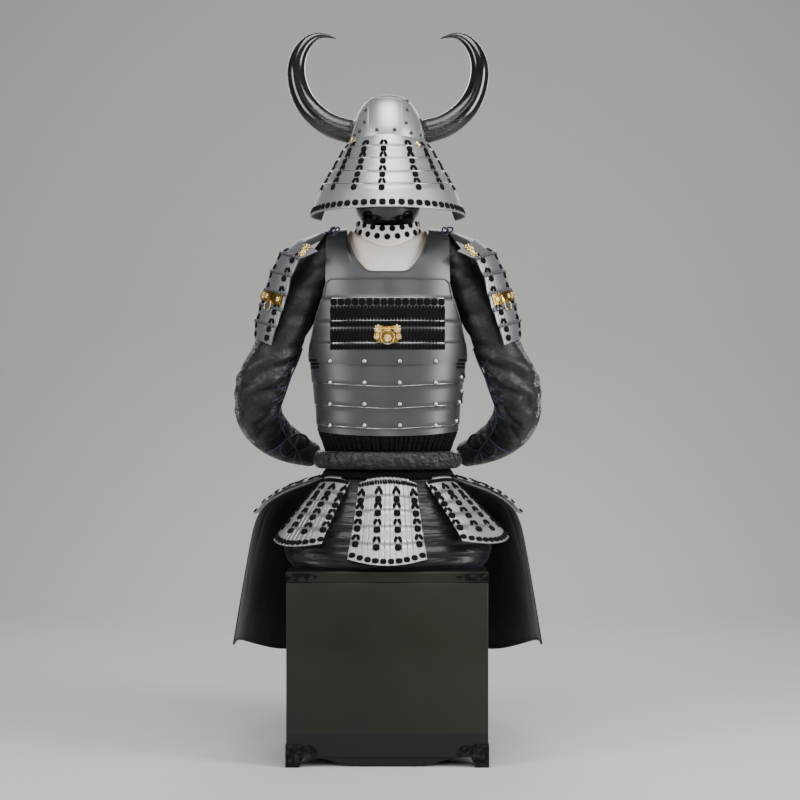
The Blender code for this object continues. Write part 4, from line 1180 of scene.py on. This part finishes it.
    def ties(self, face: Face) -> None:
        """Short ties: at the right side, and the looped toggles on the shoulders."""
        bead("side tie", lifted(through(face, self.side_tie), self.cord), self.cord, "navy")
        bead("side tie tail", lifted(through(face, self.side_tail), self.cord), 0.0018, "navy")
        top = self.face(*(f"shoulder_{part}_{side}" for part in ("strap", "wing") for side, _ in SIDE_SIGNS))
        for name, sign in SIDE_SIGNS:
            for k, (x, y, reach) in enumerate(self.toggles):
                here = top.hit(Vector((sign * x, y, 1.5)), Vector((0, 0, -1)))
                if here is None:
                    continue
                at, out = here.place, here.normal
                up, aside = here.up, here.up.cross(out)
                loop = [
                    at + out * 0.0012,
                    at + out * 0.007 + up * reach + aside * 0.006,
                    at + out * 0.009 + up * reach * 0.4 + aside * 0.015,
                    at + out * 0.006 - up * reach * 0.5 + aside * 0.009,
                    at + out * 0.0012 - up * 0.004,
                ]
                bead(f"{name} shoulder toggle {k}", curve(loop), self.cord, "navy")


@dataclass(frozen=True)
class GuardRow:
    """Outermost line of the +X shoulder guard, and its rear and front edges."""

    x: float
    z: float
    edge_x: float
    edge_z: float


@dataclass
class ShoulderGuards(Assembly):
    """The two laced shoulder guards, each with a gilt band and ring."""

    copies: tuple[Copy, ...] = (
        *both("guard_band", "gilt band", "gilt_ground", 0),
        ring("guard_ring_left"),
        ring("guard_ring_right"),
        *both("shoulder_guard", "shoulder guard", "guard_scales"),
    )
    rows: tuple[GuardRow, ...] = (
        GuardRow(0.2130, 1.220, 0.1630, 1.184),
        GuardRow(0.2575, 1.189, 0.2030, 1.168),
        GuardRow(0.2800, 1.146, 0.2245, 1.127),
        GuardRow(0.2945, 1.102, 0.2345, 1.082),
        GuardRow(0.3060, 1.067, 0.2455, 1.046),
        GuardRow(0.3170, 1.028, 0.2595, 1.008),
        GuardRow(0.3200, 0.983, 0.2725, 0.964),
    )
    arm_y: float = -0.012
    radius: float = 0.113
    half_angle: int = 62
    columns: tuple[int, ...] = (-52, -20, 20, 52)
    scales: int = 27
    band_row: int = 3
    head: Triple = (0.0078, 0.0072, 0.0030)

    def spot(self, face: Face, side: int, row: float, angle: float) -> Optional[Spot]:
        """A spot on a shoulder guard.

        Args:
            face: The guard's face.
            side: 1 for the right guard, -1 for the left one.
            row: Place down the guard, 0 to 6.
            angle: Place round the arm, negative to the rear.

        Returns:
            The spot, or None where there is no plate.
        """
        index = min(int(row), len(self.rows) - 2)
        share = row - index
        upper, lower = self.rows[index], self.rows[index + 1]
        x, z, edge_x, edge_z = (
            getattr(upper, key) + (getattr(lower, key) - getattr(upper, key)) * share
            for key in ("x", "z", "edge_x", "edge_z")
        )
        turn = math.radians(angle)
        bend = (1 - math.cos(turn)) / (1 - math.cos(math.radians(self.half_angle)))
        point = Vector((
            x - (x - edge_x) * bend, self.arm_y + self.radius * math.sin(turn), z - (z - edge_z) * bend,
        ))
        run, fall = lower.x - upper.x, upper.z - lower.z
        normal = Vector((math.cos(turn) * fall, math.sin(turn) * fall, run)).normalized()
        point.x *= side
        normal.x *= side
        return face.hit(point + normal * 0.03, -normal)

    def lane(self, point: Vector) -> float:
        """Which scale of a lame a point lies on."""
        share = max(-1.0, min(1.0, (point.y - self.arm_y) / self.radius))
        return math.degrees(math.asin(share)) / self.half_angle * self.scales / 2 + self.scales / 2

    def show(self) -> None:
        """Show the guards, with the scales of their lames."""
        super().show()
        for name, _ in SIDE_SIGNS:
            write_number(self.shown[f"shoulder_guard_{name}"], "lane", self.lane)

    def dress(self) -> None:
        """Lay the lacing and the heads of the scales."""
        knots = Stack("shoulder guard lacing", "lacing")
        heads = Stack("shoulder guard scale heads", "dark_steel")
        for name, side in SIDE_SIGNS:
            face = self.face(f"shoulder_guard_{name}")
            for row in range(1, 6):
                for k in range(self.scales):
                    angle = self.half_angle * ((2 * k + 1) / self.scales - 1)
                    spot = self.spot(face, side, row + 0.05, angle)
                    heads.add(spot, self.head, lean=8, sink=0.3)
            for angle in self.columns:
                for row in range(1, 6):
                    low = None if row == self.band_row else self.spot(face, side, row + 0.27, angle)
                    lay_column_step(knots, low, self.spot(face, side, row - 0.22, angle), 0.95)
                knots.add(self.spot(face, side, 5.72, angle), KNOT, sink=0.25)
        knots.build()
        heads.build()
        self.gilt_relief().build()

    def gilt_relief(self) -> Stack:
        """Flowers raised on the bands, the shoulders and the plate that holds the back's ring."""
        relief = Stack("gilt flowers", "gilt")
        plate = self.face("back_ring_plate")
        for x, z, radius in PLATE_FLOWERS:
            rosette(relief, plate.across(x, z), radius)
        for name, side in SIDE_SIGNS:
            band = self.face(f"guard_band_{name}")
            for k in range(11):
                angle = -52 + 10.4 * k
                if abs(angle + 40) >= 3:
                    rosette(relief, self.spot(band, side, 3.45, angle), 0.0082 if k % 2 else 0.0062)
            cap = self.face(f"shoulder_guard_{name}", f"shoulder_wing_{name}")
            for angle in (-47, 47):
                rosette(relief, self.spot(cap, side, 0.22, angle), 0.0130)
                rosette(relief, self.spot(cap, side, 0.62, angle + math.copysign(6, angle)), 0.0110)
        return relief


@dataclass(frozen=True)
class Crease:
    """A soft trough in cloth, or a ridge where its depth is negative.

    Attributes:
        turn: Where it starts round the piece, in degrees.
        along: Where it starts along the piece, in metres.
        end_turn: Where it ends round the piece.
        end_along: Where it ends along the piece.
        width: Half its width in metres.
        depth: Its depth in metres.
    """

    turn: float
    along: float
    end_turn: float
    end_along: float
    width: float
    depth: float


Lay = Callable[[np.ndarray], tuple[np.ndarray, np.ndarray, np.ndarray]]

ARM_LINE = np.array([
    (0.1240, -0.010, 1.2276), (0.1520, -0.019, 1.1640), (0.1870, -0.022, 1.1040), (0.2240, -0.028, 1.0420),
    (0.2490, -0.028, 0.9800), (0.2900, -0.026, 0.9000), (0.3110, -0.012, 0.8520), (0.3140, 0.012, 0.8060),
    (0.2980, 0.050, 0.7680), (0.2700, 0.092, 0.7400), (0.2400, 0.130, 0.7200), (0.2120, 0.162, 0.7070),
    (0.1940, 0.184, 0.7000),
])


def arm_lay(points: np.ndarray) -> tuple[np.ndarray, np.ndarray, np.ndarray]:
    """Turn round an arm (0 at the rear, 90 outside), distance down it, and the way out.

    Args:
        points: Rows of places on either sleeve.

    Returns:
        One number, one number and one direction for each point.
    """
    side = np.where(points[:, 0] < 0, -1.0, 1.0)
    right = points * np.stack((side, np.ones_like(side), np.ones_like(side)), axis=1)
    starts, steps = ARM_LINE[:-1], np.diff(ARM_LINE, axis=0)
    lengths = np.linalg.norm(steps, axis=1)
    shares = np.einsum("nsk,sk->ns", right[:, None] - starts[None], steps) / lengths**2
    shares = np.clip(shares, 0, 1)
    feet = starts[None] + steps[None] * shares[..., None]
    nearest = np.argmin(np.linalg.norm(right[:, None] - feet, axis=2), axis=1)
    rows = np.arange(len(points))
    out = right - feet[rows, nearest]
    walked = np.concatenate(((0,), np.cumsum(lengths)))[nearest] + shares[rows, nearest] * lengths[nearest]
    ahead = steps[nearest] / lengths[nearest][:, None]
    rear = np.array((0.0, -1.0, 0.0)) - ahead * (-ahead[:, 1])[:, None]
    rear /= np.linalg.norm(rear, axis=1)[:, None]
    outer = np.cross(rear, ahead)
    turn = np.degrees(np.arctan2(np.einsum("nk,nk->n", out, outer), np.einsum("nk,nk->n", out, rear)))
    out /= np.maximum(np.linalg.norm(out, axis=1), 1e-6)[:, None]
    out[:, 0] *= side
    return turn, walked, out


def upright_lay(points: np.ndarray) -> tuple[np.ndarray, np.ndarray, np.ndarray]:
    """Turn about the stand (0 at the back, 90 at +X), height, and the way out."""
    turn = np.degrees(np.arctan2(points[:, 0], -points[:, 1]))
    out = points * np.array((1.0, 1.0, 0.0))
    out /= np.linalg.norm(out, axis=1)[:, None]
    return turn, points[:, 2], out


def settle(thing: bpy.types.Object) -> None:
    """Make a piece's modifiers part of its mesh."""
    graph = bpy.context.evaluated_depsgraph_get()
    mesh = bpy.data.meshes.new_from_object(thing.evaluated_get(graph))
    mesh.name = thing.name
    thing.modifiers.clear()
    thing.data = mesh


def crease(thing: bpy.types.Object, lay: Lay, creases: Sequence[Crease], reach: float) -> None:
    """Press creases into a piece of cloth, the same on both of its faces.

    Args:
        thing: The piece, whose modifiers become part of its mesh.
        lay: How the piece's points are measured round and along.
        creases: What is pressed in.
        reach: The piece's radius, which turns degrees into metres.
    """
    settle(thing)
    mesh = thing.data
    flat = np.zeros(len(mesh.vertices) * 3)
    mesh.vertices.foreach_get("co", flat)
    points = flat.reshape(-1, 3)
    turn, along, out = lay(points)
    metre = math.radians(1) * reach
    moved = np.zeros(len(points))
    for one in creases:
        start = np.array((one.turn * metre, one.along))
        run = np.array((one.end_turn * metre, one.end_along)) - start
        here = np.stack((turn * metre, along), axis=1) - start
        share = np.clip(here @ run / (run @ run), 0, 1)
        distance = np.linalg.norm(here - share[:, None] * run, axis=1)
        fade = 1 - 0.6 * np.abs(2 * share - 1) ** 3
        moved -= one.depth * fade * np.exp(-((distance / one.width) ** 2))
    points += out * moved[:, None]
    mesh.vertices.foreach_set("co", points.ravel())
    mesh.update()


SLEEVE_CREASES = [Crease(*row) for row in (
    (-85, 0.285, 78, 0.430, 0.009, 0.0110), (-82, 0.266, 80, 0.408, 0.010, -0.0070),
    (-70, 0.345, 60, 0.470, 0.008, 0.0085), (-68, 0.330, 62, 0.455, 0.008, -0.0045),
    (-95, 0.400, 40, 0.520, 0.008, 0.0080), (-93, 0.386, 42, 0.506, 0.008, -0.0040),
    (-40, 0.060, 30, 0.120, 0.009, 0.0070), (-70, 0.10, 20, 0.17, 0.010, 0.0045),
    (-95, 0.17, 5, 0.23, 0.011, 0.0055), (-20, 0.20, 70, 0.28, 0.012, 0.0050),
    (-110, 0.245, -15, 0.300, 0.010, 0.0060), (40, 0.270, 110, 0.330, 0.012, -0.0040),
    (-130, 0.330, -20, 0.350, 0.010, 0.0065), (-120, 0.385, 30, 0.400, 0.009, 0.0060),
    (-125, 0.425, 20, 0.450, 0.009, 0.0060), (-60, 0.365, 60, 0.372, 0.012, -0.0045),
    (10, 0.430, 100, 0.455, 0.012, 0.0050), (-100, 0.470, 10, 0.500, 0.011, 0.0050),
    (-60, 0.540, 50, 0.530, 0.012, 0.0045), (-120, 0.580, -10, 0.590, 0.011, 0.0045),
    (-50, 0.620, 60, 0.610, 0.011, 0.0035), (120, 0.230, 200, 0.300, 0.012, 0.0050),
    (130, 0.360, 215, 0.400, 0.012, 0.0050), (110, 0.500, 190, 0.480, 0.012, 0.0045),
    (-230, 0.380, -150, 0.410, 0.010, 0.0055),
)]
SEAT_CREASES = [Crease(*row) for row in (
    (-62, 0.612, 48, 0.604, 0.006, 0.0040), (-50, 0.590, 70, 0.596, 0.007, 0.0045),
    (-70, 0.566, 30, 0.572, 0.006, 0.0040), (-10, 0.556, 75, 0.548, 0.007, 0.0045),
    (-65, 0.532, 55, 0.540, 0.006, 0.0045), (-48, 0.508, 62, 0.502, 0.007, 0.0040),
    (-70, 0.486, 20, 0.492, 0.006, 0.0040), (5, 0.478, 70, 0.474, 0.006, 0.0035),
    (80, 0.600, 170, 0.585, 0.008, 0.0040), (95, 0.560, 178, 0.565, 0.008, 0.0040),
    (85, 0.520, 160, 0.530, 0.008, 0.0040), (-170, 0.590, -85, 0.600, 0.008, 0.0040),
    (-178, 0.550, -90, 0.560, 0.008, 0.0040), (-160, 0.510, -80, 0.520, 0.008, 0.0040),
)]
THIGH_CREASES = [Crease(*row) for row in (
    (112, 0.600, 104, 0.470, 0.012, 0.0035), (128, 0.590, 133, 0.420, 0.014, 0.0040),
    (150, 0.600, 146, 0.480, 0.014, 0.0035), (96, 0.430, 101, 0.330, 0.012, 0.0030),
    (165, 0.520, 160, 0.360, 0.014, 0.0035),
)]


def mirrored_creases(creases: Sequence[Crease]) -> list[Crease]:
    """The same creases on the -X side of the stand."""
    return [Crease(-c.turn, c.along, -c.end_turn, c.end_along, c.width, c.depth) for c in creases]


def roll_creases() -> list[Crease]:
    """Short slanting wrinkles round the waist roll, uneven in length and depth."""
    made = []
    turn = -178.0
    for i in range(46):
        lean = 5.0 + 3.0 * math.sin(1.9 * i)
        low = 0.676 + 0.004 * math.sin(2.7 * i)
        high = 0.712 + 0.004 * math.sin(1.3 * i)
        depth = 0.0036 + 0.0014 * math.sin(3.1 * i)
        made.append(Crease(turn, high, turn + lean, low, 0.0048, depth))
        turn += 7.4 + 1.9 * math.sin(2.3 * i)
    return made


def arm_spot(face: Face, side: int, turn: float, along: float) -> Optional[Spot]:
    """A spot on a sleeve at a turn (0 at the rear, 90 outside) and a distance down the arm."""
    steps = np.diff(ARM_LINE, axis=0)
    lengths = np.linalg.norm(steps, axis=1)
    walked = np.concatenate(((0,), np.cumsum(lengths)))
    index = min(int(np.searchsorted(walked, along, side="right")) - 1, len(lengths) - 1)
    ahead = Vector(steps[index]).normalized()
    centre = Vector(ARM_LINE[index]) + ahead * (along - walked[index])
    rear = Vector((0, -1, 0))
    rear = (rear - ahead * rear.dot(ahead)).normalized()
    outer = rear.cross(ahead)
    out = rear * math.cos(math.radians(turn)) + outer * math.sin(math.radians(turn))
    centre.x *= side
    out.x *= side
    ahead.x *= side
    found = face.hit(centre + out * 0.11, -out)
    return None if found is None else spot_at(found.place, found.normal, -ahead)


@dataclass
class Sleeves(Assembly):
    """The brocade sleeves with mail at the elbows and navy laces."""

    copies: tuple[Copy, ...] = both("sleeve", "sleeve", "brocade", 3, 70)
    radius: float = 0.058
    lace: tuple[Pair, ...] = (
        (474, 348), (479, 362), (486, 378), (491, 394), (497, 410), (496, 424), (489, 438), (480, 450),
    )
    tails: tuple[tuple[Pair, ...], ...] = (
        ((489, 438), (500, 448), (512, 452)),
        ((480, 450), (475, 462), (473, 474)),
        ((480, 450), (484, 464), (489, 472)),
        ((489, 438), (480, 434), (472, 436), (468, 444), (474, 450), (480, 450)),
        ((480, 450), (490, 456), (496, 450), (492, 441), (489, 438)),
    )
    cord: float = 0.0023
    cross_cord: float = 0.0014
    mail_rows: int = 44
    mail_start: float = 0.262
    mail_pitch: Pair = (6.4, 0.0062)
    link: Triple = (0.0078, 0.0078, 0.0016)

    def show(self) -> None:
        """Show both sleeves with their folds."""
        super().show()
        for side, _ in SIDE_SIGNS:
            sleeve = self.shown[f"sleeve_{side}"]
            crease(sleeve, arm_lay, SLEEVE_CREASES, self.radius)

    def dress(self) -> None:
        """Lay the mail and the laces."""
        mail = Stack("elbow mail", "mail")
        for name, side in SIDE_SIGNS:
            face = self.face(f"sleeve_{name}")
            last = self.mail_rows - 1
            for row in range(self.mail_rows):
                along = self.mail_start + self.mail_pitch[1] * row
                for k in range(9):
                    turn = 45 + self.mail_pitch[0] * (k + 0.5 * (row % 2)) + 10 * math.sin(math.pi * row / last)
                    spot = arm_spot(face, side, turn, along)
                    mail.add(spot, self.link, Shape.LINK, lean=25, sink=0.1)
            self.laces(face, side, name)
        mail.build()

    def laces(self, face: Face, side: int, name: str) -> None:
        """Lay one sleeve's lace, bow, tails and crossed laces.

        Args:
            face: The sleeve's face.
            side: 1 for the right sleeve, -1 for the left one.
            name: The side's name.
        """
        right = self.face("sleeve_right")
        for k, line in enumerate((self.lace, *self.tails)):
            spots = through(right, line)
            if side < 0:
                starts = [Vector((-s.place.x, s.place.y - 0.12, s.place.z)) for s in spots]
                spots = [face.hit(start, Vector((0, 1, 0))) for start in starts]
            bead(f"{name} sleeve lace {k}", lifted(spots, self.cord * 0.7), self.cord, "navy")
        for k in range(9):
            low, high = 0.315 + 0.028 * k, 0.329 + 0.028 * k
            for way, letter in ((-1, "a"), (1, "b")):
                spots = [
                    arm_spot(face, side, -52 + way * t, low + (high - low) * (t + 13) / 26) for t in range(-13, 14, 4)
                ]
                bead(f"{name} sleeve cross {k}{letter}", lifted(spots, self.cord * 0.5), self.cross_cord, "navy")


@dataclass
class Waist(Assembly):
    """The padded brocade roll over a ground of hanging lace."""

    copies: tuple[Copy, ...] = (
        Copy("waist_lacing", "lace ground at the waist", "lacing"),
        Copy("waist_roll", "brocade waist roll", "rumpled", 3, 90),
    )
    roll_radius: float = 0.165
    strands: int = 104
    rise: float = 0.010

    def show(self) -> None:
        """Show the lace ground and the puckered roll."""
        super().show()
        roll = self.shown["waist_roll"]
        crease(roll, upright_lay, roll_creases(), self.roll_radius)

    def dress(self) -> None:
        """Hang strands of lace between the cuirass, the roll and the tassets."""
        face = self.face("waist_lacing")
        stack = Stack("waist lacing strands", "lacing")
        for k in range(self.strands):
            turn = 360 * k / self.strands + 1.2 * math.sin(2.1 * k)
            lift = self.rise * bulge(turn)
            for top, low in ((0.7495 + lift, 0.7330 + lift / 2), (0.7345 + lift / 2, 0.7160), (0.6690, 0.6540)):
                upper, lower = face.round(turn, top), face.round(turn, low)
                if upper is None or lower is None:
                    continue
                run = upper.place - lower.place
                normal = (upper.normal + lower.normal).normalized()
                spot = spot_at((upper.place + lower.place) / 2, normal, run)
                stack.add(spot, (0.0066, run.length * 1.12, 0.0034), sink=0.3)
        stack.build()


@dataclass(frozen=True)
class Tasset:
    """A skirt panel: where it faces, how it flares, and half its width at top and hem."""

    heading: float
    flare_top: float
    flare_hem: float
    top_half: float
    hem_half: float


TASSETS = {
    "tasset_back": Tasset(0, 32, 32, 0.066, 0.090),
    "tasset_back_left": Tasset(-34, 50, 46, 0.050, 0.078),
    "tasset_back_right": Tasset(42, 52, 48, 0.050, 0.078),
    "tasset_side_left": Tasset(-131, 77, 38, 0.046, 0.072),
    "tasset_side_right": Tasset(131, 77, 38, 0.046, 0.072),
    "tasset_front_left": Tasset(-164, 77, 36, 0.048, 0.066),
    "tasset_front_right": Tasset(164, 77, 36, 0.048, 0.066),
}
TASSET_LENGTH = 0.230
TASSET_ARCH = 0.012
TASSET_HEM_CURVE = 0.020
TASSET_SCALES = 13


class Panel:
    """A tasset measured across (-1 to 1) and down (0 to 1)."""

    def __init__(self, node: bpy.types.Object, spec: Tasset, face: Face) -> None:
        """Measure the node across and down."""
        self.spec, self.face = spec, face
        angle = math.radians(spec.heading)
        self.away = Vector((math.sin(angle), -math.cos(angle), 0))
        self.side = Vector((math.cos(angle), math.sin(angle), 0))
        places = [v.co for v in node.data.vertices]
        spread = [p.dot(self.side) for p in places]
        self.middle = (min(spread) + max(spread)) / 2
        self.top = max(p.z for p in places)
        self.reach = sum(p.dot(self.away) for p in places) / len(places)

    def fall(self, down: float) -> float:
        """How far below its top a share of the panel's length lies."""
        total, steps = 0.0, 20
        for k in range(steps):
            share = down * (k + 0.5) / steps
            flare = self.spec.flare_top + (self.spec.flare_hem - self.spec.flare_top) * share**2
            total += math.cos(math.radians(flare)) * TASSET_LENGTH * down / steps
        return total

    def arch(self, across: float, down: float) -> float:
        """How far below the middle of its row a place across the panel lies."""
        curve = TASSET_ARCH + TASSET_HEM_CURVE if abs(self.spec.heading) < 90 else 0.0
        lift = TASSET_ARCH - curve * down**1.5
        return math.cos(math.radians(self.spec.flare_top)) * lift * across**2

    def half(self, down: float) -> float:
        """Half its width at a share of its length."""
        return self.spec.top_half + (self.spec.hem_half - self.spec.top_half) * down

    def spot(self, across: float, down: float) -> Optional[Spot]:
        """The spot on its face."""
        level = self.top - self.fall(down) - self.arch(across, down)
        start = self.side * (self.middle + across * self.half(down)) + self.away * (self.reach + 0.3)
        found = self.face.hit(start + Vector((0, 0, level)), -self.away)
        if found is None or found.normal.dot(self.away) < 0.1:
            return None
        return found

    def lane(self, point: Vector) -> float:
        """Which scale of a lame a point lies on."""
        drop = self.top - point.z
        down = min(1.0, max(0.0, drop / self.fall(1.0)))
        share = (point.dot(self.side) - self.middle) / self.half(down)
        return (share + 1) * TASSET_SCALES / 2


@dataclass
class Skirt(Assembly):
    """Seven tassets of laced lames."""

    edges: tuple[float, ...] = (0.21, 0.37, 0.56, 0.76)
    columns: tuple[float, ...] = (-0.86, -0.29, 0.29, 0.86)
    top_knot: Triple = (0.0075, 0.0100, 0.0034)
    hem_knot: Triple = (0.0145, 0.0125, 0.0040)
    lace: Triple = (0.0052, 0.0110, 0.0034)
    bead: Triple = (0.0098, 0.0075, 0.0036)

    def show(self) -> None:
        """Show the tassets, with the scales of their lames."""
        for node, spec in TASSETS.items():
            thing = self.shown[node] = smooth_copy(self.frame, node, node + "_lames", "scales")
            write_number(thing, "lane", Panel(self.frame["nodes"][node], spec, Face(thing)).lane)

    def dress(self) -> None:
        """Lay the lacing and the beaded top edges."""
        knots = Stack("tasset lacing", "lacing")
        beads = Stack("tasset scale heads", "steel")
        for node, spec in TASSETS.items():
            panel = Panel(self.frame["nodes"][node], spec, self.face(node))
            for across in self.columns:
                for edge in self.edges:
                    lay_column_step(knots, panel.spot(across, edge + 0.045), panel.spot(across, edge - 0.048), 1.08)
                knots.add(panel.spot(across, 0.125), self.top_knot, lean=12, sink=0.25)
            for k in range(10):
                knots.add(panel.spot(-0.9 + 0.2 * k, 0.955), self.hem_knot, sink=0.25)
            for k in range(22):
                knots.add(panel.spot(-0.95 + 1.9 * k / 21, 0.058), self.lace, lean=15, sink=0.25)
            for k in range(TASSET_SCALES + 1):
                spot = panel.spot(-0.97 + 1.94 * k / TASSET_SCALES, 0.016)
                beads.add(spot, self.bead, sink=0.35)
        knots.build()
        beads.build()


@dataclass
class LowerCloth(Assembly):
    """The satin seat cloth and the two thigh guards."""

    copies: tuple[Copy, ...] = (
        *both("thigh_guard", "thigh guard", "thigh", 3, 60),
        Copy("seat_cloth", "satin seat cloth", "satin", sharp=60),
    )
    seat_radius: float = 0.22
    thigh_radius: float = 0.30
    hem_step: float = 2.5

    def show(self) -> None:
        """Show the three cloths with their folds."""
        super().show()
        for side, sign in SIDE_SIGNS:
            guard = self.shown[f"thigh_guard_{side}"]
            lines = THIGH_CREASES if sign > 0 else mirrored_creases(THIGH_CREASES)
            crease(guard, upright_lay, lines, self.thigh_radius)
        seat = self.shown["seat_cloth"]
        crease(seat, upright_lay, SEAT_CREASES, self.seat_radius)

    def dress(self) -> None:
        """Lay a turned edge along the hem of each thigh guard."""
        for name, _ in SIDE_SIGNS:
            lowest: dict[int, Vector] = {}
            for vertex in self.shown[f"thigh_guard_{name}"].data.vertices:
                key = round(math.degrees(math.atan2(vertex.co.x, -vertex.co.y)) / self.hem_step)
                if key not in lowest or vertex.co.z < lowest[key].z:
                    lowest[key] = vertex.co
            line = [lowest[key] + Vector((0, 0, 0.0008)) for key in sorted(lowest)]
            bead(f"{name} thigh guard hem", line, 0.0026, "thigh")


# ---- camera, light and floor ------------------------------------------------

@dataclass(frozen=True)
class Softbox:
    """A rectangular lamp that faces the armour."""

    name: str
    spot: Triple
    width: float
    height: float
    watts: float


@dataclass
class Studio:
    """The camera, the lamps, the room's light and the floor."""

    softboxes: tuple[Softbox, ...] = (
        Softbox("left softbox", (-2.3, -1.7, 1.7), 0.9, 2.2, 48),
        Softbox("right softbox", (2.4, -1.3, 1.6), 0.9, 2.2, 85),
        Softbox("top softbox", (0.1, -1.0, 3.3), 1.8, 1.4, 60),
        Softbox("front fill", (0.2, -4.2, 2.4), 2.2, 1.6, 38),
        Softbox("rear light", (0.0, 3.0, 2.4), 2.4, 1.2, 50),
    )
    aim: Triple = (0, 0, 0.95)
    room: str = "#dfe3e8"
    room_strength: float = 0.15
    floor_colour: str = "#c9c9c7"
    wall: Pair = (2.4, 1.2)

    def camera(self) -> None:
        """Make a level camera behind the armour, with the photograph's angle and framing."""
        data = bpy.data.cameras.new("camera")
        data.sensor_width = SENSOR
        data.lens = SENSOR * abs(CAMERA_PLACE.y) / FRAME_WIDTH
        camera = linked("camera", data)
        camera.location = CAMERA_PLACE
        camera.rotation_euler = (math.pi / 2, 0, 0)
        bpy.context.scene.camera = camera

    def light(self) -> None:
        """Make soft studio lamps and a pale room."""
        for box in self.softboxes:
            data = bpy.data.lights.new(box.name, "AREA")
            data.shape = "RECTANGLE"
            data.size, data.size_y, data.energy = box.width, box.height, box.watts
            lamp = linked(box.name, data)
            lamp.location = box.spot
            lamp.rotation_euler = (Vector(box.spot) - Vector(self.aim)).to_track_quat("Z", "Y").to_euler()
        world = bpy.data.worlds.new("pale room")
        world.use_nodes = True
        ground = world.node_tree.nodes["Background"]
        ground.inputs["Color"].default_value = linear(self.room)
        ground.inputs["Strength"].default_value = self.room_strength
        bpy.context.scene.world = world

    def floor(self) -> None:
        """Make a pale plain floor that curves up beyond the armour."""
        start, radius = self.wall
        profile = [(-6.0, 0.0), (start, 0.0)]
        for k in range(1, 9):
            angle = math.pi / 16 * k
            profile.append((start + radius * math.sin(angle), radius - radius * math.cos(angle)))
        profile.append((start + radius, 6.0))
        shape = bmesh.new()
        rows = [[shape.verts.new((x, y, z)) for x in (-7.0, 7.0)] for y, z in profile]
        for near, far in zip(rows, rows[1:]):
            shape.faces.new((near[0], near[1], far[1], far[0]))
        floor = linked("floor", mesh_of(shape, "floor"))
        floor.data.materials.append(Graph("pale floor", Finish(self.floor_colour, 0.8)).material)


ASSEMBLIES = (Chest, Stand, Helmet, Cuirass, ShoulderGuards, Collar, Sleeves, Waist, Skirt, LowerCloth)


def main() -> None:
    """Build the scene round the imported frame, and report each piece."""
    for thing in list(bpy.data.objects):
        bpy.data.objects.remove(thing)
    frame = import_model()
    studio = Studio()
    studio.camera()
    shown: dict[str, bpy.types.Object] = {}
    assemblies = [kind(frame, shown) for kind in ASSEMBLIES]
    for assembly in assemblies:
        assembly.show()
    for assembly in assemblies:
        assembly.dress()
    for thing in PLACED:
        LOG.info("%s: %d faces", thing.name, len(thing.data.polygons))
    studio.light()
    studio.floor()


if __name__ == "__main__":
    logging.basicConfig(level=logging.INFO)
    main()
